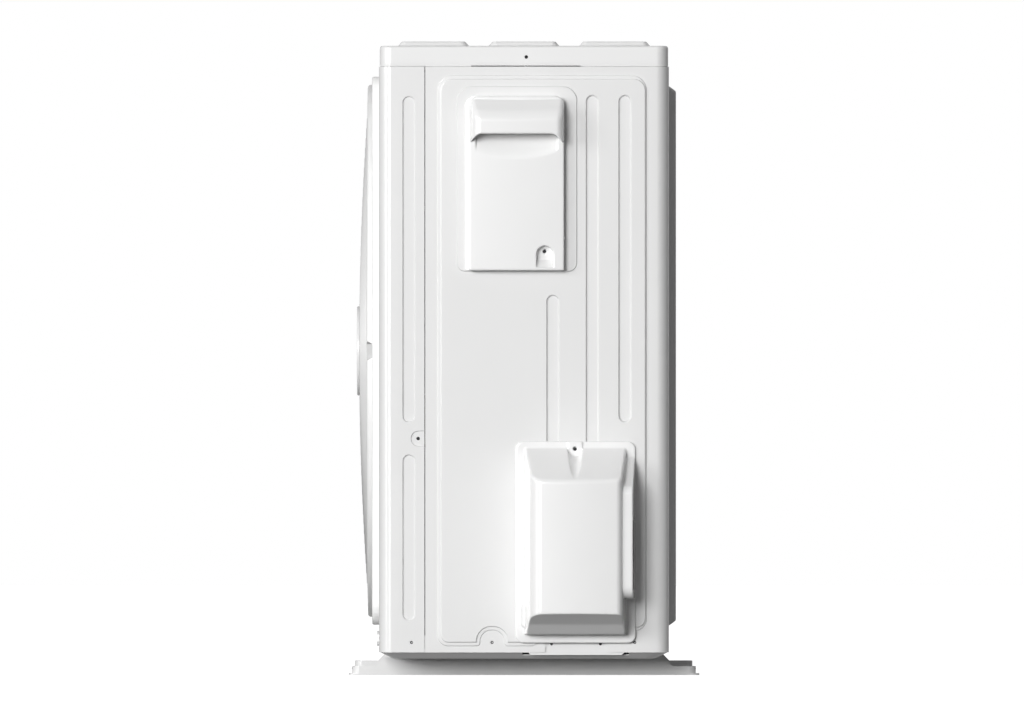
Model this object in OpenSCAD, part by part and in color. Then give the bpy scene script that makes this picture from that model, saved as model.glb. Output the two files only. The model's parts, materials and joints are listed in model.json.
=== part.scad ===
// Air conditioner outdoor unit: a sheet-metal cabinet with a fan, a coil and a compressor.
// X runs left to right seen from the front, the fan faces -Y and Z is up.
// The origin is on the ground, at the centre of the four foot slots.

/* [Cabinet] */
// Width of the cabinet
body_w = 946; // [940:1:952]
// Depth of the cabinet
body_d = 370; // [368:1:374]
// Height of the cabinet's lower edge above the ground
body_z = 30; // [29:0.5:31]
// Height of the panels' upper edge, just under the top cover
seam_z = 777.5; // [775:0.5:780]
// Height of the flat of the top cover
roof_z = 804; // [802:0.5:806]
// Outer radius of the upright corners
corner_r = 16; // [14:1:18]
// Thickness of the panels
sheet_t = 1.2; // [1:0.1:1.4]
// Depth of the front panel's two side returns
return_d = 58; // [56:1:60]
// Width of the ribs pressed up in the top cover
rib_w = 92.5; // [88:0.5:96]
// Height of those ribs
rib_h = 6; // [4:0.5:8]

/* [Side panel] */
// Height of the raised field on the service side
field_h = 3; // [2:0.5:4]
// Extra height of the pad under the wiring cover
pad_h = 1.5; // [1:0.5:2]
// Width of the long pressed grooves
groove_w = 17; // [15:0.5:18]
// Depth of the grooves
groove_depth = 2.5; // [1.5:0.5:2.5]

/* [Feet] */
// Distance between the two foot rails
foot_span_x = 673; // [660:1:690]
// Distance between the slots of one rail
foot_span_y = 403; // [401:0.5:405]
// Width of a foot slot
slot_w = 11; // [9:0.5:13]
// Length of a foot slot
slot_l = 18; // [16:0.5:24]
// Width of a foot rail
foot_w = 54; // [48:1:60]
// Length of a foot rail
foot_l = 449; // [446:1:452]
// Thickness of the rails
foot_t = 2; // [1.5:0.5:2.5]

/* [Fan] */
// Sideways place of the fan
fan_x = -100; // [-105:1:-95]
// Height of the fan's axis
fan_z = 415; // [410:1:420]
// Radius over the blade tips
fan_r = 276; // [270:1:278]
// Inner radius of the ring round the fan
orifice_r = 283; // [282:1:286]
// Number of blades
blade_count = 3; // [2:1:5]
// Pitch of the blades in degrees
blade_pitch = 24; // [18:1:30]
// Radius of the motor shaft
shaft_r = 6; // [5:0.5:7]
// Half of the guard's width and height
guard_half = 352; // [345:1:354]
// Number of rings in the fan guard
guard_rings = 12; // [8:1:16]
// Number of spokes in the fan guard
guard_spokes = 24; // [12:4:36]

/* [Service covers] */
// How far the valve cover stands out of the side panel's field
valve_cover_depth = 68; // [64:1:72]
// How far the wiring cover's hood stands out of its pad
hood_depth = 33.5; // [30:0.5:36]
// How far the wiring cover's flat stands out of its pad
flat_depth = 14; // [12:0.5:16]
// Wall of the plastic covers
plastic_t = 2; // [1.6:0.2:2.4]

/* [Refrigeration] */
// Depth of the coil
coil_d = 38; // [34:1:42]
// Radius of the compressor's shell
compressor_r = 62; // [58:1:64]
// Radius of the gas valve's flare thread
gas_r = 11.1; // [10:0.1:12]
// Radius of the liquid valve's flare thread
liquid_r = 7.95; // [7:0.05:9]
// Radius of the drain nozzle's spout
drain_r = 12.5; // [11:0.5:14]

/* [Hidden] */
$fn = 64;

// Clear gap left between pieces that lie close together
gap = 0.2;
// A little more than nothing, so that cuts pass right through
eps = 1;
// Radius of a sheet-metal screw's hole and of the screw in it
hole_r = 2.1;
screw_r = 1.8;

// Outer and inner planes of the panels
side_x = body_w / 2;
side_in_x = side_x - sheet_t;
face_y = body_d / 2;
seam_y = -face_y + return_d;
seam_gap = 1;
field_x = side_x + field_h;
pad_x = field_x + pad_h;
groove_x = field_x - groove_depth;
// Where the side panel ends on the rear face, and where the corner post begins
rear_edge_x = 262;
post_x = -430;
post_y = 150;

// Base pan: a tray with a stepped rim
pan_z = 22;
pan_t = 1.4;
pan_w = 932;
pan_d = 351;
rim_w = body_w - 2 * sheet_t - 2 * gap;
rim_d = body_d - 2 * sheet_t - 2 * gap;
rim_h = 22;
floor_z = pan_z + pan_t;

// Top cover
roof_w = body_w - 2;
roof_d = body_d - 2;
roof_r = corner_r - 1;
roof_low_z = seam_z + 0.3;
rib_l = 860;
rib_slope = 6.25;
rib_ys = [-115.5, 0, 115.5];

// Screws seen on the service side, as [y, z]
front_screws = [[-135, 303], [-143.4, 42.7]];
side_screws = [[-40.6, 42.7], [141.5, 42.7], [35.2, 41], [97.5, 41]];
roof_screw = [2.9, 789.8];

// Fan, guard and motor
orifice_l = 64;
fan_back_y = -97;
fan_depth = 68;
hub_r = 60;
hub_depth = 54;
motor_r = 70;
motor_front_y = -85;
motor_back_y = -15;
bracket_y = motor_back_y + 3;
motor_bolt = 60;
running_gap = 0.05;
guard_y = -face_y - 10;
ring_r = 345;
ring_in_r = 318;
ring_y = guard_y - 7;
dome_h = 11.3;
cap_r = 57.8;

// Coil and partition
coil_x0 = -462;
coil_x1 = 255;
coil_y0 = -120;
coil_y1 = 172;
coil_top_z = 766;
coil_r = 60;
partition_x = 262;

// Compressor room
comp = [375, 10];
comp_z0 = 44;
comp_z1 = 300;
leg_r = 84;
acc = [312, -75];
acc_r = 30;
valve_y = 66;
gas_z = 100;
liquid_z = 190;
valve_x = 457;
drain = [120, -20];

// Covers on the service side
wire_y0 = -70.4;
wire_y1 = 51.2;
wire_z0 = 517.2;
wire_z1 = 738.7;
hood_lip_z = 691.5;
valve_y0 = -11;
valve_y1 = 142.4;
valve_z0 = 42;
valve_z1 = 299.3;
flange_t = 2.5;

cabinet_colour = [0.92, 0.92, 0.91];
copper_colour = [0.72, 0.45, 0.30];
zinc_colour = [0.70, 0.72, 0.73];

// ---- Helpers -------------------------------------------------------------------------

// Rounded rectangle about the origin
module rrect(w, h, r) {
    square([w - 2 * r, h], center = true);
    square([w, h - 2 * r], center = true);
    for (sx = [-1, 1], sy = [-1, 1])
        translate([sx * (w / 2 - r), sy * (h / 2 - r)]) circle(r);
}

// Rounded rectangle between two corners
module rbox(a0, a1, b0, b1, r) {
    translate([(a0 + a1) / 2, (b0 + b1) / 2]) rrect(a1 - a0, b1 - b0, r);
}

// Upright slot with round ends
module upright_slot(a, b0, b1, w) {
    translate([a - w / 2, b0 + w / 2]) square([w, b1 - b0 - w]);
    for (b = [b0 + w / 2, b1 - w / 2]) translate([a, b]) circle(w / 2);
}

// A drawing of (y, z), made t thick from x
module on_x(x, t) {
    translate([x, 0, 0]) rotate([90, 0, 90]) linear_extrude(t) children();
}

// A drawing of (x, z), made t thick from y
module on_y(y, t) {
    translate([0, y + t, 0]) rotate([90, 0, 0]) linear_extrude(t) children();
}

// A drawing of (x, y), made t thick from z
module on_z(z, t) {
    translate([0, 0, z]) linear_extrude(t) children();
}

// Block between two corners
module slab(lo, hi) {
    translate(lo) cube(hi - lo);
}

// Round bar along X, Y or Z
module bar_x(x, y, z, l, r) {
    translate([x, y, z]) rotate([0, 90, 0]) cylinder(h = l, r = r);
}
module bar_y(x, y, z, l, r) {
    translate([x, y + l, z]) rotate([90, 0, 0]) cylinder(h = l, r = r);
}
module bar_z(x, y, z, l, r) {
    translate([x, y, z]) cylinder(h = l, r = r);
}

// Drawing about the fan's axis, made t thick from y
module fan_disc(y, t) {
    translate([fan_x, 0, fan_z]) on_y(y, t) children();
}

// Turned frame: local X, Y and Z lie along u, v and w at p
module turned(p, u, v, w) {
    multmatrix([
        [u.x, v.x, w.x, p.x],
        [u.y, v.y, w.y, p.y],
        [u.z, v.z, w.z, p.z],
        [0, 0, 0, 1]
    ]) children();
}

function unit(v) = v / norm(v);
function turn_over(v) = [v.y, v.z, v.x];

// Bent pipe through points that are joined by runs along X, Y or Z
module route(points, r, bend) {
    last = len(points) - 1;
    for (i = [0 : last - 1]) {
        d = unit(points[i + 1] - points[i]);
        from_corner = i > 0 ? bend : 0;
        to_corner = i < last - 1 ? bend : 0;
        run = norm(points[i + 1] - points[i]) - from_corner - to_corner;
        turned(points[i] + d * from_corner, turn_over(d), cross(d, turn_over(d)), d)
            cylinder(h = run, r = r);
    }
    for (i = [1 : last - 1]) {
        d_in = unit(points[i] - points[i - 1]);
        d_out = unit(points[i + 1] - points[i]);
        turned(points[i] - d_in * bend + d_out * bend, -d_out, d_in, cross(d_in, d_out))
            rotate_extrude(angle = 90) translate([bend, 0]) circle(r, $fn = 32);
    }
}

// Outline of the cabinet's thin skin, seen from above
module skin() {
    difference() {
        rrect(body_w, body_d, corner_r);
        rrect(body_w - 2 * sheet_t, body_d - 2 * sheet_t, corner_r - sheet_t);
    }
}

// ---- Cabinet -------------------------------------------------------------------------

module base_pan() {
    color(cabinet_colour) difference() {
        union() {
            on_z(pan_z, body_z - pan_z) rrect(pan_w, pan_d, corner_r);
            on_z(body_z, rim_h) rrect(rim_w, rim_d, corner_r - sheet_t);
        }
        on_z(floor_z, body_z - pan_z)
            rrect(pan_w - 2 * pan_t, pan_d - 2 * pan_t, corner_r - pan_t);
        on_z(body_z + pan_t, rim_h + eps)
            rrect(rim_w - 2 * pan_t, rim_d - 2 * pan_t, corner_r - sheet_t - pan_t);
        // Gap in the rim for the valve plate
        slab([pan_w / 2 + 0.6, -2, body_z - eps], [rim_w / 2 + eps, 134, body_z + rim_h + eps]);
        for (s = [0, 1]) mirror([s, 0, 0])
            bar_x(side_x - 6, front_screws[1][0], front_screws[1][1], 6, screw_r + 0.1);
        for (p = [side_screws[0], side_screws[1]])
            bar_x(side_x - 6, p[0], p[1], 6, screw_r + 0.1);
        // Hole for the drain nozzle
        bar_z(drain.x, drain.y, pan_z - eps, pan_t + 2 * eps, drain_r - 0.5);
    }
}

// Half length of a foot rail's upright wall
foot_wall_y = 220;

// Side view of a foot rail's wall, as (y, z)
module foot_side() {
    y = foot_wall_y;
    end_z = 11.2;
    polygon([[-y, 0], [y, 0], [y, end_z], [190, end_z], [179.2, pan_z],
             [-179.2, pan_z], [-190, end_z], [-y, end_z]]);
}

module foot(x) {
    flange_w = 12;
    color(cabinet_colour) translate([x, 0, 0]) {
        on_z(0, foot_t) difference() {
            rrect(foot_w, foot_l, 8);
            for (s = [-1, 1]) translate([0, s * foot_span_y / 2]) rotate(90)
                upright_slot(0, -slot_l / 2, slot_l / 2, slot_w);
        }
        intersection() {
            on_x(-foot_w / 2, foot_w) foot_side();
            on_z(0, pan_z) difference() {
                rrect(foot_w, 2 * foot_wall_y, 9);
                rrect(foot_w - 2 * foot_t, 2 * (foot_wall_y - foot_t), 9 - foot_t);
            }
        }
        for (x = [-foot_w / 2, foot_w / 2 - flange_w])
            slab([x, -168, pan_z - foot_t], [x + flange_w, 168, pan_z]);
    }
}

module foot_left() {
    foot(-foot_span_x / 2);
}

module foot_right() {
    foot(foot_span_x / 2);
}

// Upright pressed grooves of the front panel's returns, as [z low, z high]
front_grooves = [[323.4, 740], [70.6, 282.7]];
front_groove_y = -146.8;
front_groove_w = 16.4;
front_groove_depth = 2;

module front_panel() {
    floor_x = side_x - front_groove_depth;
    color(cabinet_colour) difference() {
        union() {
            on_z(body_z, seam_z - body_z) intersection() {
                skin();
                translate([-side_x - eps, -face_y - eps]) square([body_w + 2 * eps, return_d + eps]);
            }
            for (s = [0, 1], g = front_grooves) mirror([s, 0, 0])
                on_x(floor_x - sheet_t, front_groove_depth) upright_slot(front_groove_y,
                    g[0] - sheet_t, g[1] + sheet_t, front_groove_w + 2 * sheet_t);
        }
        for (s = [0, 1], g = front_grooves) mirror([s, 0, 0])
            on_x(floor_x, 2 * sheet_t + front_groove_depth)
                upright_slot(front_groove_y, g[0], g[1], front_groove_w);
        for (s = [0, 1], p = front_screws) mirror([s, 0, 0])
            bar_x(side_x - 5, p[0], p[1], 5 + eps, hole_r);
        fan_disc(-face_y - eps, sheet_t + 2 * eps) circle(orifice_r + 17, $fn = 128);
    }
}

// Raised field of the side panel, as (y, z), drawn g larger all round
module field_outline(g) {
    low_z = 39.7;
    shelf_z = 57;
    difference() {
        rbox(-107.2 - g, 154.9 + g, low_z - g, 765.2 + g, 17 + g);
        // Notches that clear the screws along the lower edge
        translate([-40.6, shelf_z - 13.5 - g]) {
            circle(13.5 - g);
            translate([-13.5 + g, -20]) square([27 - 2 * g, 20]);
        }
        translate([18 + g, 0]) square([200, shelf_z - g]);
    }
}

// Long grooves of the side panel, as [y, z low, z high]
side_grooves = [[87.2, 275, 741.5], [128.8, 323.4, 741.5], [36.9, 275, 486.6]];

module side_panel() {
    t = sheet_t;
    color(cabinet_colour) difference() {
        union() {
            difference() {
                union() {
                    on_z(body_z, seam_z - body_z) intersection() {
                        skin();
                        translate([rear_edge_x, seam_y + seam_gap]) square([300, 400]);
                    }
                    on_x(side_in_x, field_h + t) field_outline(0);
                    on_x(side_in_x, field_h + pad_h + t) rbox(-86, 67.5, 515.9, 752.1, 14);
                }
                on_x(side_in_x - eps, field_h + eps) field_outline(-t);
                on_x(side_in_x - eps, field_h + pad_h + eps)
                    rbox(-86 + t, 67.5 - t, 515.9 + t, 752.1 - t, 14 - t);
            }
            for (g = side_grooves) on_x(groove_x - t, groove_depth)
                upright_slot(g[0], g[1] - t, g[2] + t, groove_w + 2 * t);
        }
        for (g = side_grooves) on_x(groove_x, groove_depth + eps)
            upright_slot(g[0], g[1], g[2], groove_w);
        for (p = [side_screws[0], side_screws[1]])
            bar_x(side_in_x - eps, p[0], p[1], t + 2 * eps, hole_r);
        // Opening behind the wiring cover, and the one round the service valves
        on_x(side_in_x - eps, 10) rbox(-55, 35, 545, 680, 8);
        on_x(side_in_x - eps, 10) rbox(27.4, 106, body_z - 20, 262, 6);
        // Holes for the screws of the two covers
        bar_x(side_in_x - eps, 65.1, 289.5, 10, hole_r);
        bar_x(side_in_x - eps, 26, 541.7, 10, hole_r);
    }
}

module left_grille() {
    rows = 22;
    columns = 3;
    slot_height = 21;
    slot_width = 78;
    pitch_z = 32;
    pitch_y = 88;
    middle_y = (seam_y + post_y) / 2;
    middle_z = (body_z + seam_z) / 2;
    color(cabinet_colour) difference() {
        slab([-side_x, seam_y + seam_gap, body_z], [-side_in_x, post_y - seam_gap, seam_z]);
        for (i = [0 : rows - 1], j = [0 : columns - 1])
            translate([-side_x, middle_y + (j - (columns - 1) / 2) * pitch_y,
                       middle_z + (i - (rows - 1) / 2) * pitch_z])
                cube([4 * sheet_t, slot_width, slot_height], center = true);
    }
}

// Corner post, with the strips above and below the coil's air inlet
module rear_frame() {
    strip_low_z = 74;
    strip_high_z = 742;
    color(cabinet_colour) {
        on_z(body_z, seam_z - body_z) intersection() {
            skin();
            translate([-side_x - eps, post_y]) square([post_x + side_x + eps, 100]);
        }
        for (z = [[body_z, strip_low_z], [strip_high_z, seam_z]])
            slab([post_x - eps, face_y - sheet_t, z[0]], [rear_edge_x, face_y, z[1]]);
    }
}

module rear_grille() {
    low_z = 61.8;
    high_z = 755;
    depth = 10;
    slope = 6.8;
    bar_w = 3;
    columns = 18;
    rows = 24;
    x0 = post_x - 25;
    x1 = rear_edge_x + 20;
    rim = 12;
    color([0.82, 0.83, 0.83]) {
        difference() {
            on_x(x0, x1 - x0) polygon([[face_y, low_z], [face_y + depth, low_z + slope],
                [face_y + depth, high_z - slope], [face_y, high_z]]);
            slab([x0 + rim, face_y - eps, low_z + rim], [x1 - rim, face_y + depth + eps, high_z - rim]);
        }
        for (i = [1 : columns - 1])
            translate([x0 + rim + i * (x1 - x0 - 2 * rim) / columns - bar_w / 2,
                       face_y + 4, low_z + rim - eps])
                cube([bar_w, 4, high_z - low_z - 2 * rim + 2 * eps]);
        for (i = [1 : rows - 1])
            translate([x0 + rim - eps, face_y + 5,
                       low_z + rim + i * (high_z - low_z - 2 * rim) / rows - bar_w / 2])
                cube([x1 - x0 - 2 * rim + 2 * eps, 4, bar_w]);
    }
}

// Rib with sloping sides and ends, standing on z
module rib(y, w, l, z) {
    intersection() {
        on_x(-l / 2, l) polygon([[y - w / 2, z - eps], [y + w / 2, z - eps], [y + w / 2, z],
            [y + w / 2 - rib_slope, z + rib_h], [y - w / 2 + rib_slope, z + rib_h], [y - w / 2, z]]);
        on_y(y - w / 2, w) polygon([[-l / 2, z - eps], [l / 2, z - eps], [l / 2, z],
            [l / 2 - rib_slope, z + rib_h], [-l / 2 + rib_slope, z + rib_h], [-l / 2, z]]);
    }
}

module top_cover() {
    t = sheet_t;
    color(cabinet_colour) difference() {
        union() {
            on_z(roof_low_z, roof_z - roof_low_z) rrect(roof_w, roof_d, roof_r);
            for (y = rib_ys) rib(y, rib_w, rib_l, roof_z);
        }
        on_z(roof_low_z - eps, roof_z - roof_low_z - t + eps)
            rrect(roof_w - 2 * t, roof_d - 2 * t, roof_r - t);
        for (y = rib_ys) rib(y, rib_w - 2 * t, rib_l - 2 * t, roof_z - t);
        for (s = [0, 1]) mirror([s, 0, 0])
            bar_x(roof_w / 2 - 2 * t, roof_screw[0], roof_screw[1], 3 * t, hole_r);
    }
}

module top_cover_screws() {
    head_l = 2;
    color("dimgray") for (s = [0, 1]) mirror([s, 0, 0])
        bar_x(roof_w / 2 - head_l - 6, roof_screw[0], roof_screw[1], head_l + 5.5, screw_r);
}

module cabinet_screws() {
    l = 8;
    color("dimgray") {
        for (s = [0, 1], p = front_screws) mirror([s, 0, 0])
            bar_x(side_x - l - 0.6, p[0], p[1], l, screw_r);
        for (p = side_screws) bar_x(side_x - l - 0.6, p[0], p[1], l, screw_r);
    }
}

module badge_plate() {
    color("silver") difference() {
        on_y(-face_y - 3, 3) rbox(300, 396, 37.6, 56.1, 6);
        // Groove between the plate's two bars
        bar_x(300 - eps, -face_y - 3.2, 46.7, 96 + 2 * eps, 1);
    }
}

// ---- Front guard and fan -------------------------------------------------------------

// Front surface of the domed guard at radius r
function dome_y(r) = ring_y - dome_h * (1 - pow(r / ring_in_r, 2));

module guard_base() {
    notch_h = 18;
    color([0.90, 0.90, 0.90]) difference() {
        union() {
            fan_disc(guard_y, 10) rrect(2 * guard_half, 2 * guard_half, 28);
            fan_disc(ring_y, 7 + eps) circle(ring_r, $fn = 128);
        }
        fan_disc(ring_y - eps, 30) circle(ring_in_r, $fn = 128);
        slab([fan_x + ring_r - 12, ring_y - eps, fan_z - notch_h / 2],
             [fan_x + ring_r + eps, guard_y, fan_z + notch_h / 2]);
    }
}

module fan_grille() {
    bar_w = 3;
    bar_d = 4;
    r0 = cap_r + 16;
    pitch = (ring_in_r - 4 - r0) / (guard_rings - 1);
    steps = 8;
    color([0.85, 0.85, 0.85]) {
        fan_disc(dome_y(0) + 1, bar_d + 3) circle(cap_r);
        for (i = [0 : guard_rings - 1])
            fan_disc(dome_y(r0 + i * pitch), bar_d) difference() {
                circle(r0 + i * pitch + bar_w / 2, $fn = 96);
                circle(r0 + i * pitch - bar_w / 2, $fn = 96);
            }
        for (i = [0 : guard_spokes - 1])
            translate([fan_x, 0, fan_z]) rotate([0, i * 360 / guard_spokes, 0])
                on_x(-bar_w / 2, bar_w) polygon(concat(
                    [for (k = [0 : steps]) let (r = 50 + k * (ring_in_r - 51) / steps)
                        [dome_y(r) + 1, r]],
                    [for (k = [steps : -1 : 0]) let (r = 50 + k * (ring_in_r - 51) / steps)
                        [dome_y(r) + bar_d + 1, r]]));
    }
}

module hub_cap() {
    front_y = -216;
    color([0.92, 0.92, 0.92])
        fan_disc(front_y, dome_y(0) + 1 - front_y) circle(cap_r);
}

module fan_orifice() {
    color(cabinet_colour) {
        fan_disc(-face_y + sheet_t, sheet_t) difference() {
            circle(orifice_r + 27, $fn = 128);
            circle(orifice_r, $fn = 128);
        }
        fan_disc(-face_y + sheet_t, orifice_l) difference() {
            circle(orifice_r + sheet_t, $fn = 128);
            circle(orifice_r, $fn = 128);
        }
    }
}

// One blade: a tilted plate trimmed to the fan's drum
module blade() {
    half_angle = 42;
    reach = fan_r * 1.2;
    intersection() {
        on_y(fan_back_y - fan_depth, fan_depth) intersection() {
            difference() {
                circle(fan_r);
                circle(hub_r - 4);
            }
            polygon([[0, 0], [-reach * tan(half_angle), reach], [reach * tan(half_angle), reach]]);
        }
        translate([0, fan_back_y - fan_depth / 2, 0]) rotate([0, 0, blade_pitch])
            translate([-reach, -2, 0]) cube([2 * reach, 4, reach]);
    }
}

module fan_propeller() {
    front_y = fan_back_y - fan_depth + 7;
    color([0.45, 0.47, 0.48]) difference() {
        union() {
            fan_disc(front_y, hub_depth) circle(hub_r);
            for (i = [0 : blade_count - 1])
                translate([fan_x, 0, fan_z]) rotate([0, i * 360 / blade_count, 0]) blade();
        }
        fan_disc(front_y - eps, hub_depth + 2 * eps) circle(shaft_r);
        // Hollow at the back of the hub, over the motor's nose
        fan_disc(front_y + 14, hub_depth) difference() {
            circle(hub_r - 4);
            circle(16);
        }
    }
}

module fan_nut() {
    front_y = fan_back_y - fan_depth + 7;
    color("silver") difference() {
        fan_disc(front_y - 9, 9) circle(11, $fn = 6);
        fan_disc(front_y - 10, 11) circle(shaft_r + 0.1);
    }
}

module motor_shaft() {
    front_y = fan_back_y - fan_depth - 6;
    color("silver") fan_disc(front_y, motor_back_y - 12 - front_y) circle(shaft_r);
}

module fan_motor() {
    color([0.30, 0.31, 0.32]) difference() {
        union() {
            fan_disc(motor_front_y, motor_back_y - motor_front_y) circle(motor_r);
            fan_disc(motor_front_y - 6, 7) circle(20);
            fan_disc(motor_back_y, 3) rrect(2 * motor_bolt + 26, 2 * motor_bolt + 26, 12);
        }
        fan_disc(motor_front_y - 7, motor_back_y - 11 - motor_front_y + 7)
            circle(shaft_r + running_gap);
        for (sx = [-1, 1], sz = [-1, 1])
            fan_disc(motor_back_y - eps, 3 + 2 * eps)
                translate([sx * motor_bolt, sz * motor_bolt]) circle(3);
    }
}

module motor_bracket() {
    t = 1.6;
    rail_w = 34;
    top_z = seam_z - 4;
    color(zinc_colour) difference() {
        union() {
            for (s = [-1, 1]) {
                x = fan_x + s * motor_bolt;
                slab([x - rail_w / 2, bracket_y, floor_z], [x + rail_w / 2, bracket_y + t, top_z]);
                slab([x - rail_w / 2, bracket_y, floor_z], [x - rail_w / 2 + t, bracket_y + 16, top_z]);
                slab([x + rail_w / 2 - t, bracket_y, floor_z],
                     [x + rail_w / 2, bracket_y + 16, top_z]);
            }
            for (z = [fan_z - 110, fan_z + 110])
                slab([fan_x - motor_bolt, bracket_y, z - 15], [fan_x + motor_bolt, bracket_y + t, z + 15]);
        }
        for (sx = [-1, 1], sz = [-1, 1])
            fan_disc(bracket_y - eps, t + 2 * eps)
                translate([sx * motor_bolt, sz * motor_bolt]) circle(3);
    }
}

module motor_screws() {
    color("silver") for (sx = [-1, 1], sz = [-1, 1]) {
        bar_y(fan_x + sx * motor_bolt, motor_back_y, fan_z + sz * motor_bolt, 10, 2.8);
        fan_disc(motor_back_y - 4, 4) translate([sx * motor_bolt, sz * motor_bolt]) circle(5, $fn = 6);
    }
}

// ---- Coil ----------------------------------------------------------------------------

// L-shaped band that the coil fills, seen from above, drawn g larger in thickness
module coil_plan(g) {
    far = 1400;
    intersection() {
        difference() {
            rbox(coil_x0 - g, coil_x0 + far, coil_y1 - far, coil_y1 + g, coil_r + g);
            rbox(coil_x0 + coil_d + g, coil_x0 + far + 50, coil_y1 - far - 50, coil_y1 - coil_d - g,
                 coil_r - coil_d - g);
        }
        translate([coil_x0 - 5, coil_y0]) square([coil_x1 - coil_x0 + 5, coil_y1 - coil_y0 + 5]);
    }
}

module coil_fins() {
    color([0.75, 0.77, 0.78]) on_z(floor_z, coil_top_z - floor_z) coil_plan(0);
}

module coil_end_plates() {
    t = 1.5;
    lip = 2;
    color(zinc_colour) {
        slab([coil_x1, coil_y1 - coil_d - lip, floor_z], [coil_x1 + t, coil_y1, coil_top_z + lip]);
        slab([coil_x0, coil_y0 - t, floor_z], [coil_x0 + coil_d + lip, coil_y0, coil_top_z + lip]);
    }
}

module coil_return_bends() {
    bend_r = 12.5;
    pitch = 50;
    count = 14;
    color(copper_colour)
        for (row = [coil_y1 - coil_d * 0.75, coil_y1 - coil_d * 0.25], i = [0 : count - 1])
            turned([coil_x1 + 1.5, row, 60 + i * pitch], [0, 0, 1], [1, 0, 0], [0, 1, 0])
                rotate_extrude(angle = 180) translate([bend_r, 0]) circle(4, $fn = 32);
}

module coil_header() {
    x = coil_x1 + 31;
    y = coil_y1 - coil_d / 2;
    color(copper_colour) {
        bar_z(x, y, 70, 620, 8);
        for (z = [95, 255, 405, 555, 655]) bar_x(coil_x1 + 1.5, y, z, 29, 3);
    }
}

module partition_plate() {
    color(zinc_colour) union() {
        slab([partition_x, -172, floor_z], [partition_x + 1, 128, seam_z - 2]);
        slab([partition_x, -172, floor_z], [partition_x + 14, -171, seam_z - 2]);
    }
}

// ---- Compressor room -----------------------------------------------------------------

// Centre of the compressor's foot i
function leg(i) = comp + leg_r * [cos(120 * i + 60), sin(120 * i + 60)];

module compressor_shell() {
    crown_h = 16;
    color([0.12, 0.12, 0.13]) translate([comp.x, comp.y, 0]) rotate_extrude() difference() {
        union() {
            translate([0, comp_z0]) square([compressor_r, comp_z1 - comp_z0 - crown_h]);
            translate([0, comp_z1 - crown_h]) square([compressor_r - crown_h, crown_h]);
            translate([compressor_r - crown_h, comp_z1 - crown_h]) circle(crown_h);
        }
        translate([-100, 0]) square([100, 400]);
    }
}

module compressor_base() {
    t = 4;
    color([0.12, 0.12, 0.13]) on_z(comp_z0 - t, t) difference() {
        union() {
            translate(comp) circle(compressor_r + 4);
            for (i = [0 : 2]) {
                translate(leg(i)) circle(18);
                translate(comp) rotate(120 * i + 60) translate([0, -18]) square([leg_r, 36]);
            }
        }
        for (i = [0 : 2]) translate(leg(i)) circle(9);
    }
}

module compressor_grommets() {
    plate_t = 4;
    low_h = comp_z0 - plate_t - floor_z;
    color([0.08, 0.08, 0.08]) for (i = [0 : 2]) translate(leg(i)) difference() {
        union() {
            bar_z(0, 0, floor_z, low_h, 15);
            bar_z(0, 0, floor_z, low_h + plate_t, 8.8);
            bar_z(0, 0, comp_z0, 6, 13);
        }
        bar_z(0, 0, floor_z - eps, 60, 4.2);
    }
}

module compressor_nuts() {
    color("silver") for (i = [0 : 2]) translate(leg(i)) {
        bar_z(0, 0, floor_z, comp_z0 + 18 - floor_z, 4);
        bar_z(0, 0, comp_z0 + 6, 2, 11);
        on_z(comp_z0 + 8, 7) circle(7.5, $fn = 6);
    }
}

module compressor_terminal_cover() {
    color([0.15, 0.15, 0.15])
        on_z(comp_z1, 26) translate(comp + [22, -16]) rrect(44, 34, 8);
}

module accumulator() {
    dome_r = 12;
    color([0.12, 0.12, 0.13]) translate([acc.x, acc.y, 0]) rotate_extrude() difference() {
        union() {
            translate([0, 70 + dome_r]) square([acc_r, 190 - 2 * dome_r]);
            translate([0, 70]) square([acc_r - dome_r, 190]);
            for (z = [70 + dome_r, 260 - dome_r]) translate([acc_r - dome_r, z]) circle(dome_r);
        }
        translate([-60, 0]) square([60, 400]);
    }
}

module accumulator_strap() {
    span = comp - acc;
    gap = 0.1;
    color(zinc_colour) on_z(180, 22) difference() {
        union() {
            translate(acc) circle(acc_r + 2);
            translate(acc) rotate(atan2(span.y, span.x)) translate([0, -9]) square([norm(span) - 50, 18]);
        }
        translate(acc) circle(acc_r + gap);
        translate(comp) circle(compressor_r + gap);
    }
}

// Reversing valve: a lying barrel with one stub below and three above
rev = [400, 10, 440];
rev_l = 96;
stub_pitch = 26;

module reversing_valve() {
    color([0.78, 0.62, 0.32]) {
        bar_y(rev.x, rev.y - rev_l / 2, rev.z, rev_l, 13);
        bar_z(rev.x, rev.y, rev.z - 30, 24, 7);
        for (i = [-1 : 1]) bar_z(rev.x, rev.y + i * stub_pitch, rev.z + 6, 24, 7);
    }
}

module reversing_valve_coil() {
    color([0.10, 0.10, 0.11]) {
        slab([rev.x + 13.2, rev.y - 18, rev.z - 20], [rev.x + 43, rev.y + 18, rev.z + 20]);
        bar_x(rev.x + 43, rev.y, rev.z, 4, 8);
    }
}

// Expansion valve: a slim body under its round coil
exv = [coil_x1 + 31, 90, 420];
exv_low_z = exv.z - 16;
exv_high_z = exv.z + 50;

module expansion_valve() {
    color([0.78, 0.62, 0.32]) {
        bar_z(exv.x, exv.y, exv_low_z, 32, 11);
        bar_z(exv.x, exv.y, exv.z + 16, 34, 17);
    }
}

module discharge_pipe() {
    color(copper_colour) route([[rev.x, rev.y, rev.z - 30], [rev.x, rev.y, 350],
        [comp.x - 25, rev.y, 350], [comp.x - 25, rev.y, comp_z1]], 4.8, 12);
}

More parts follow.
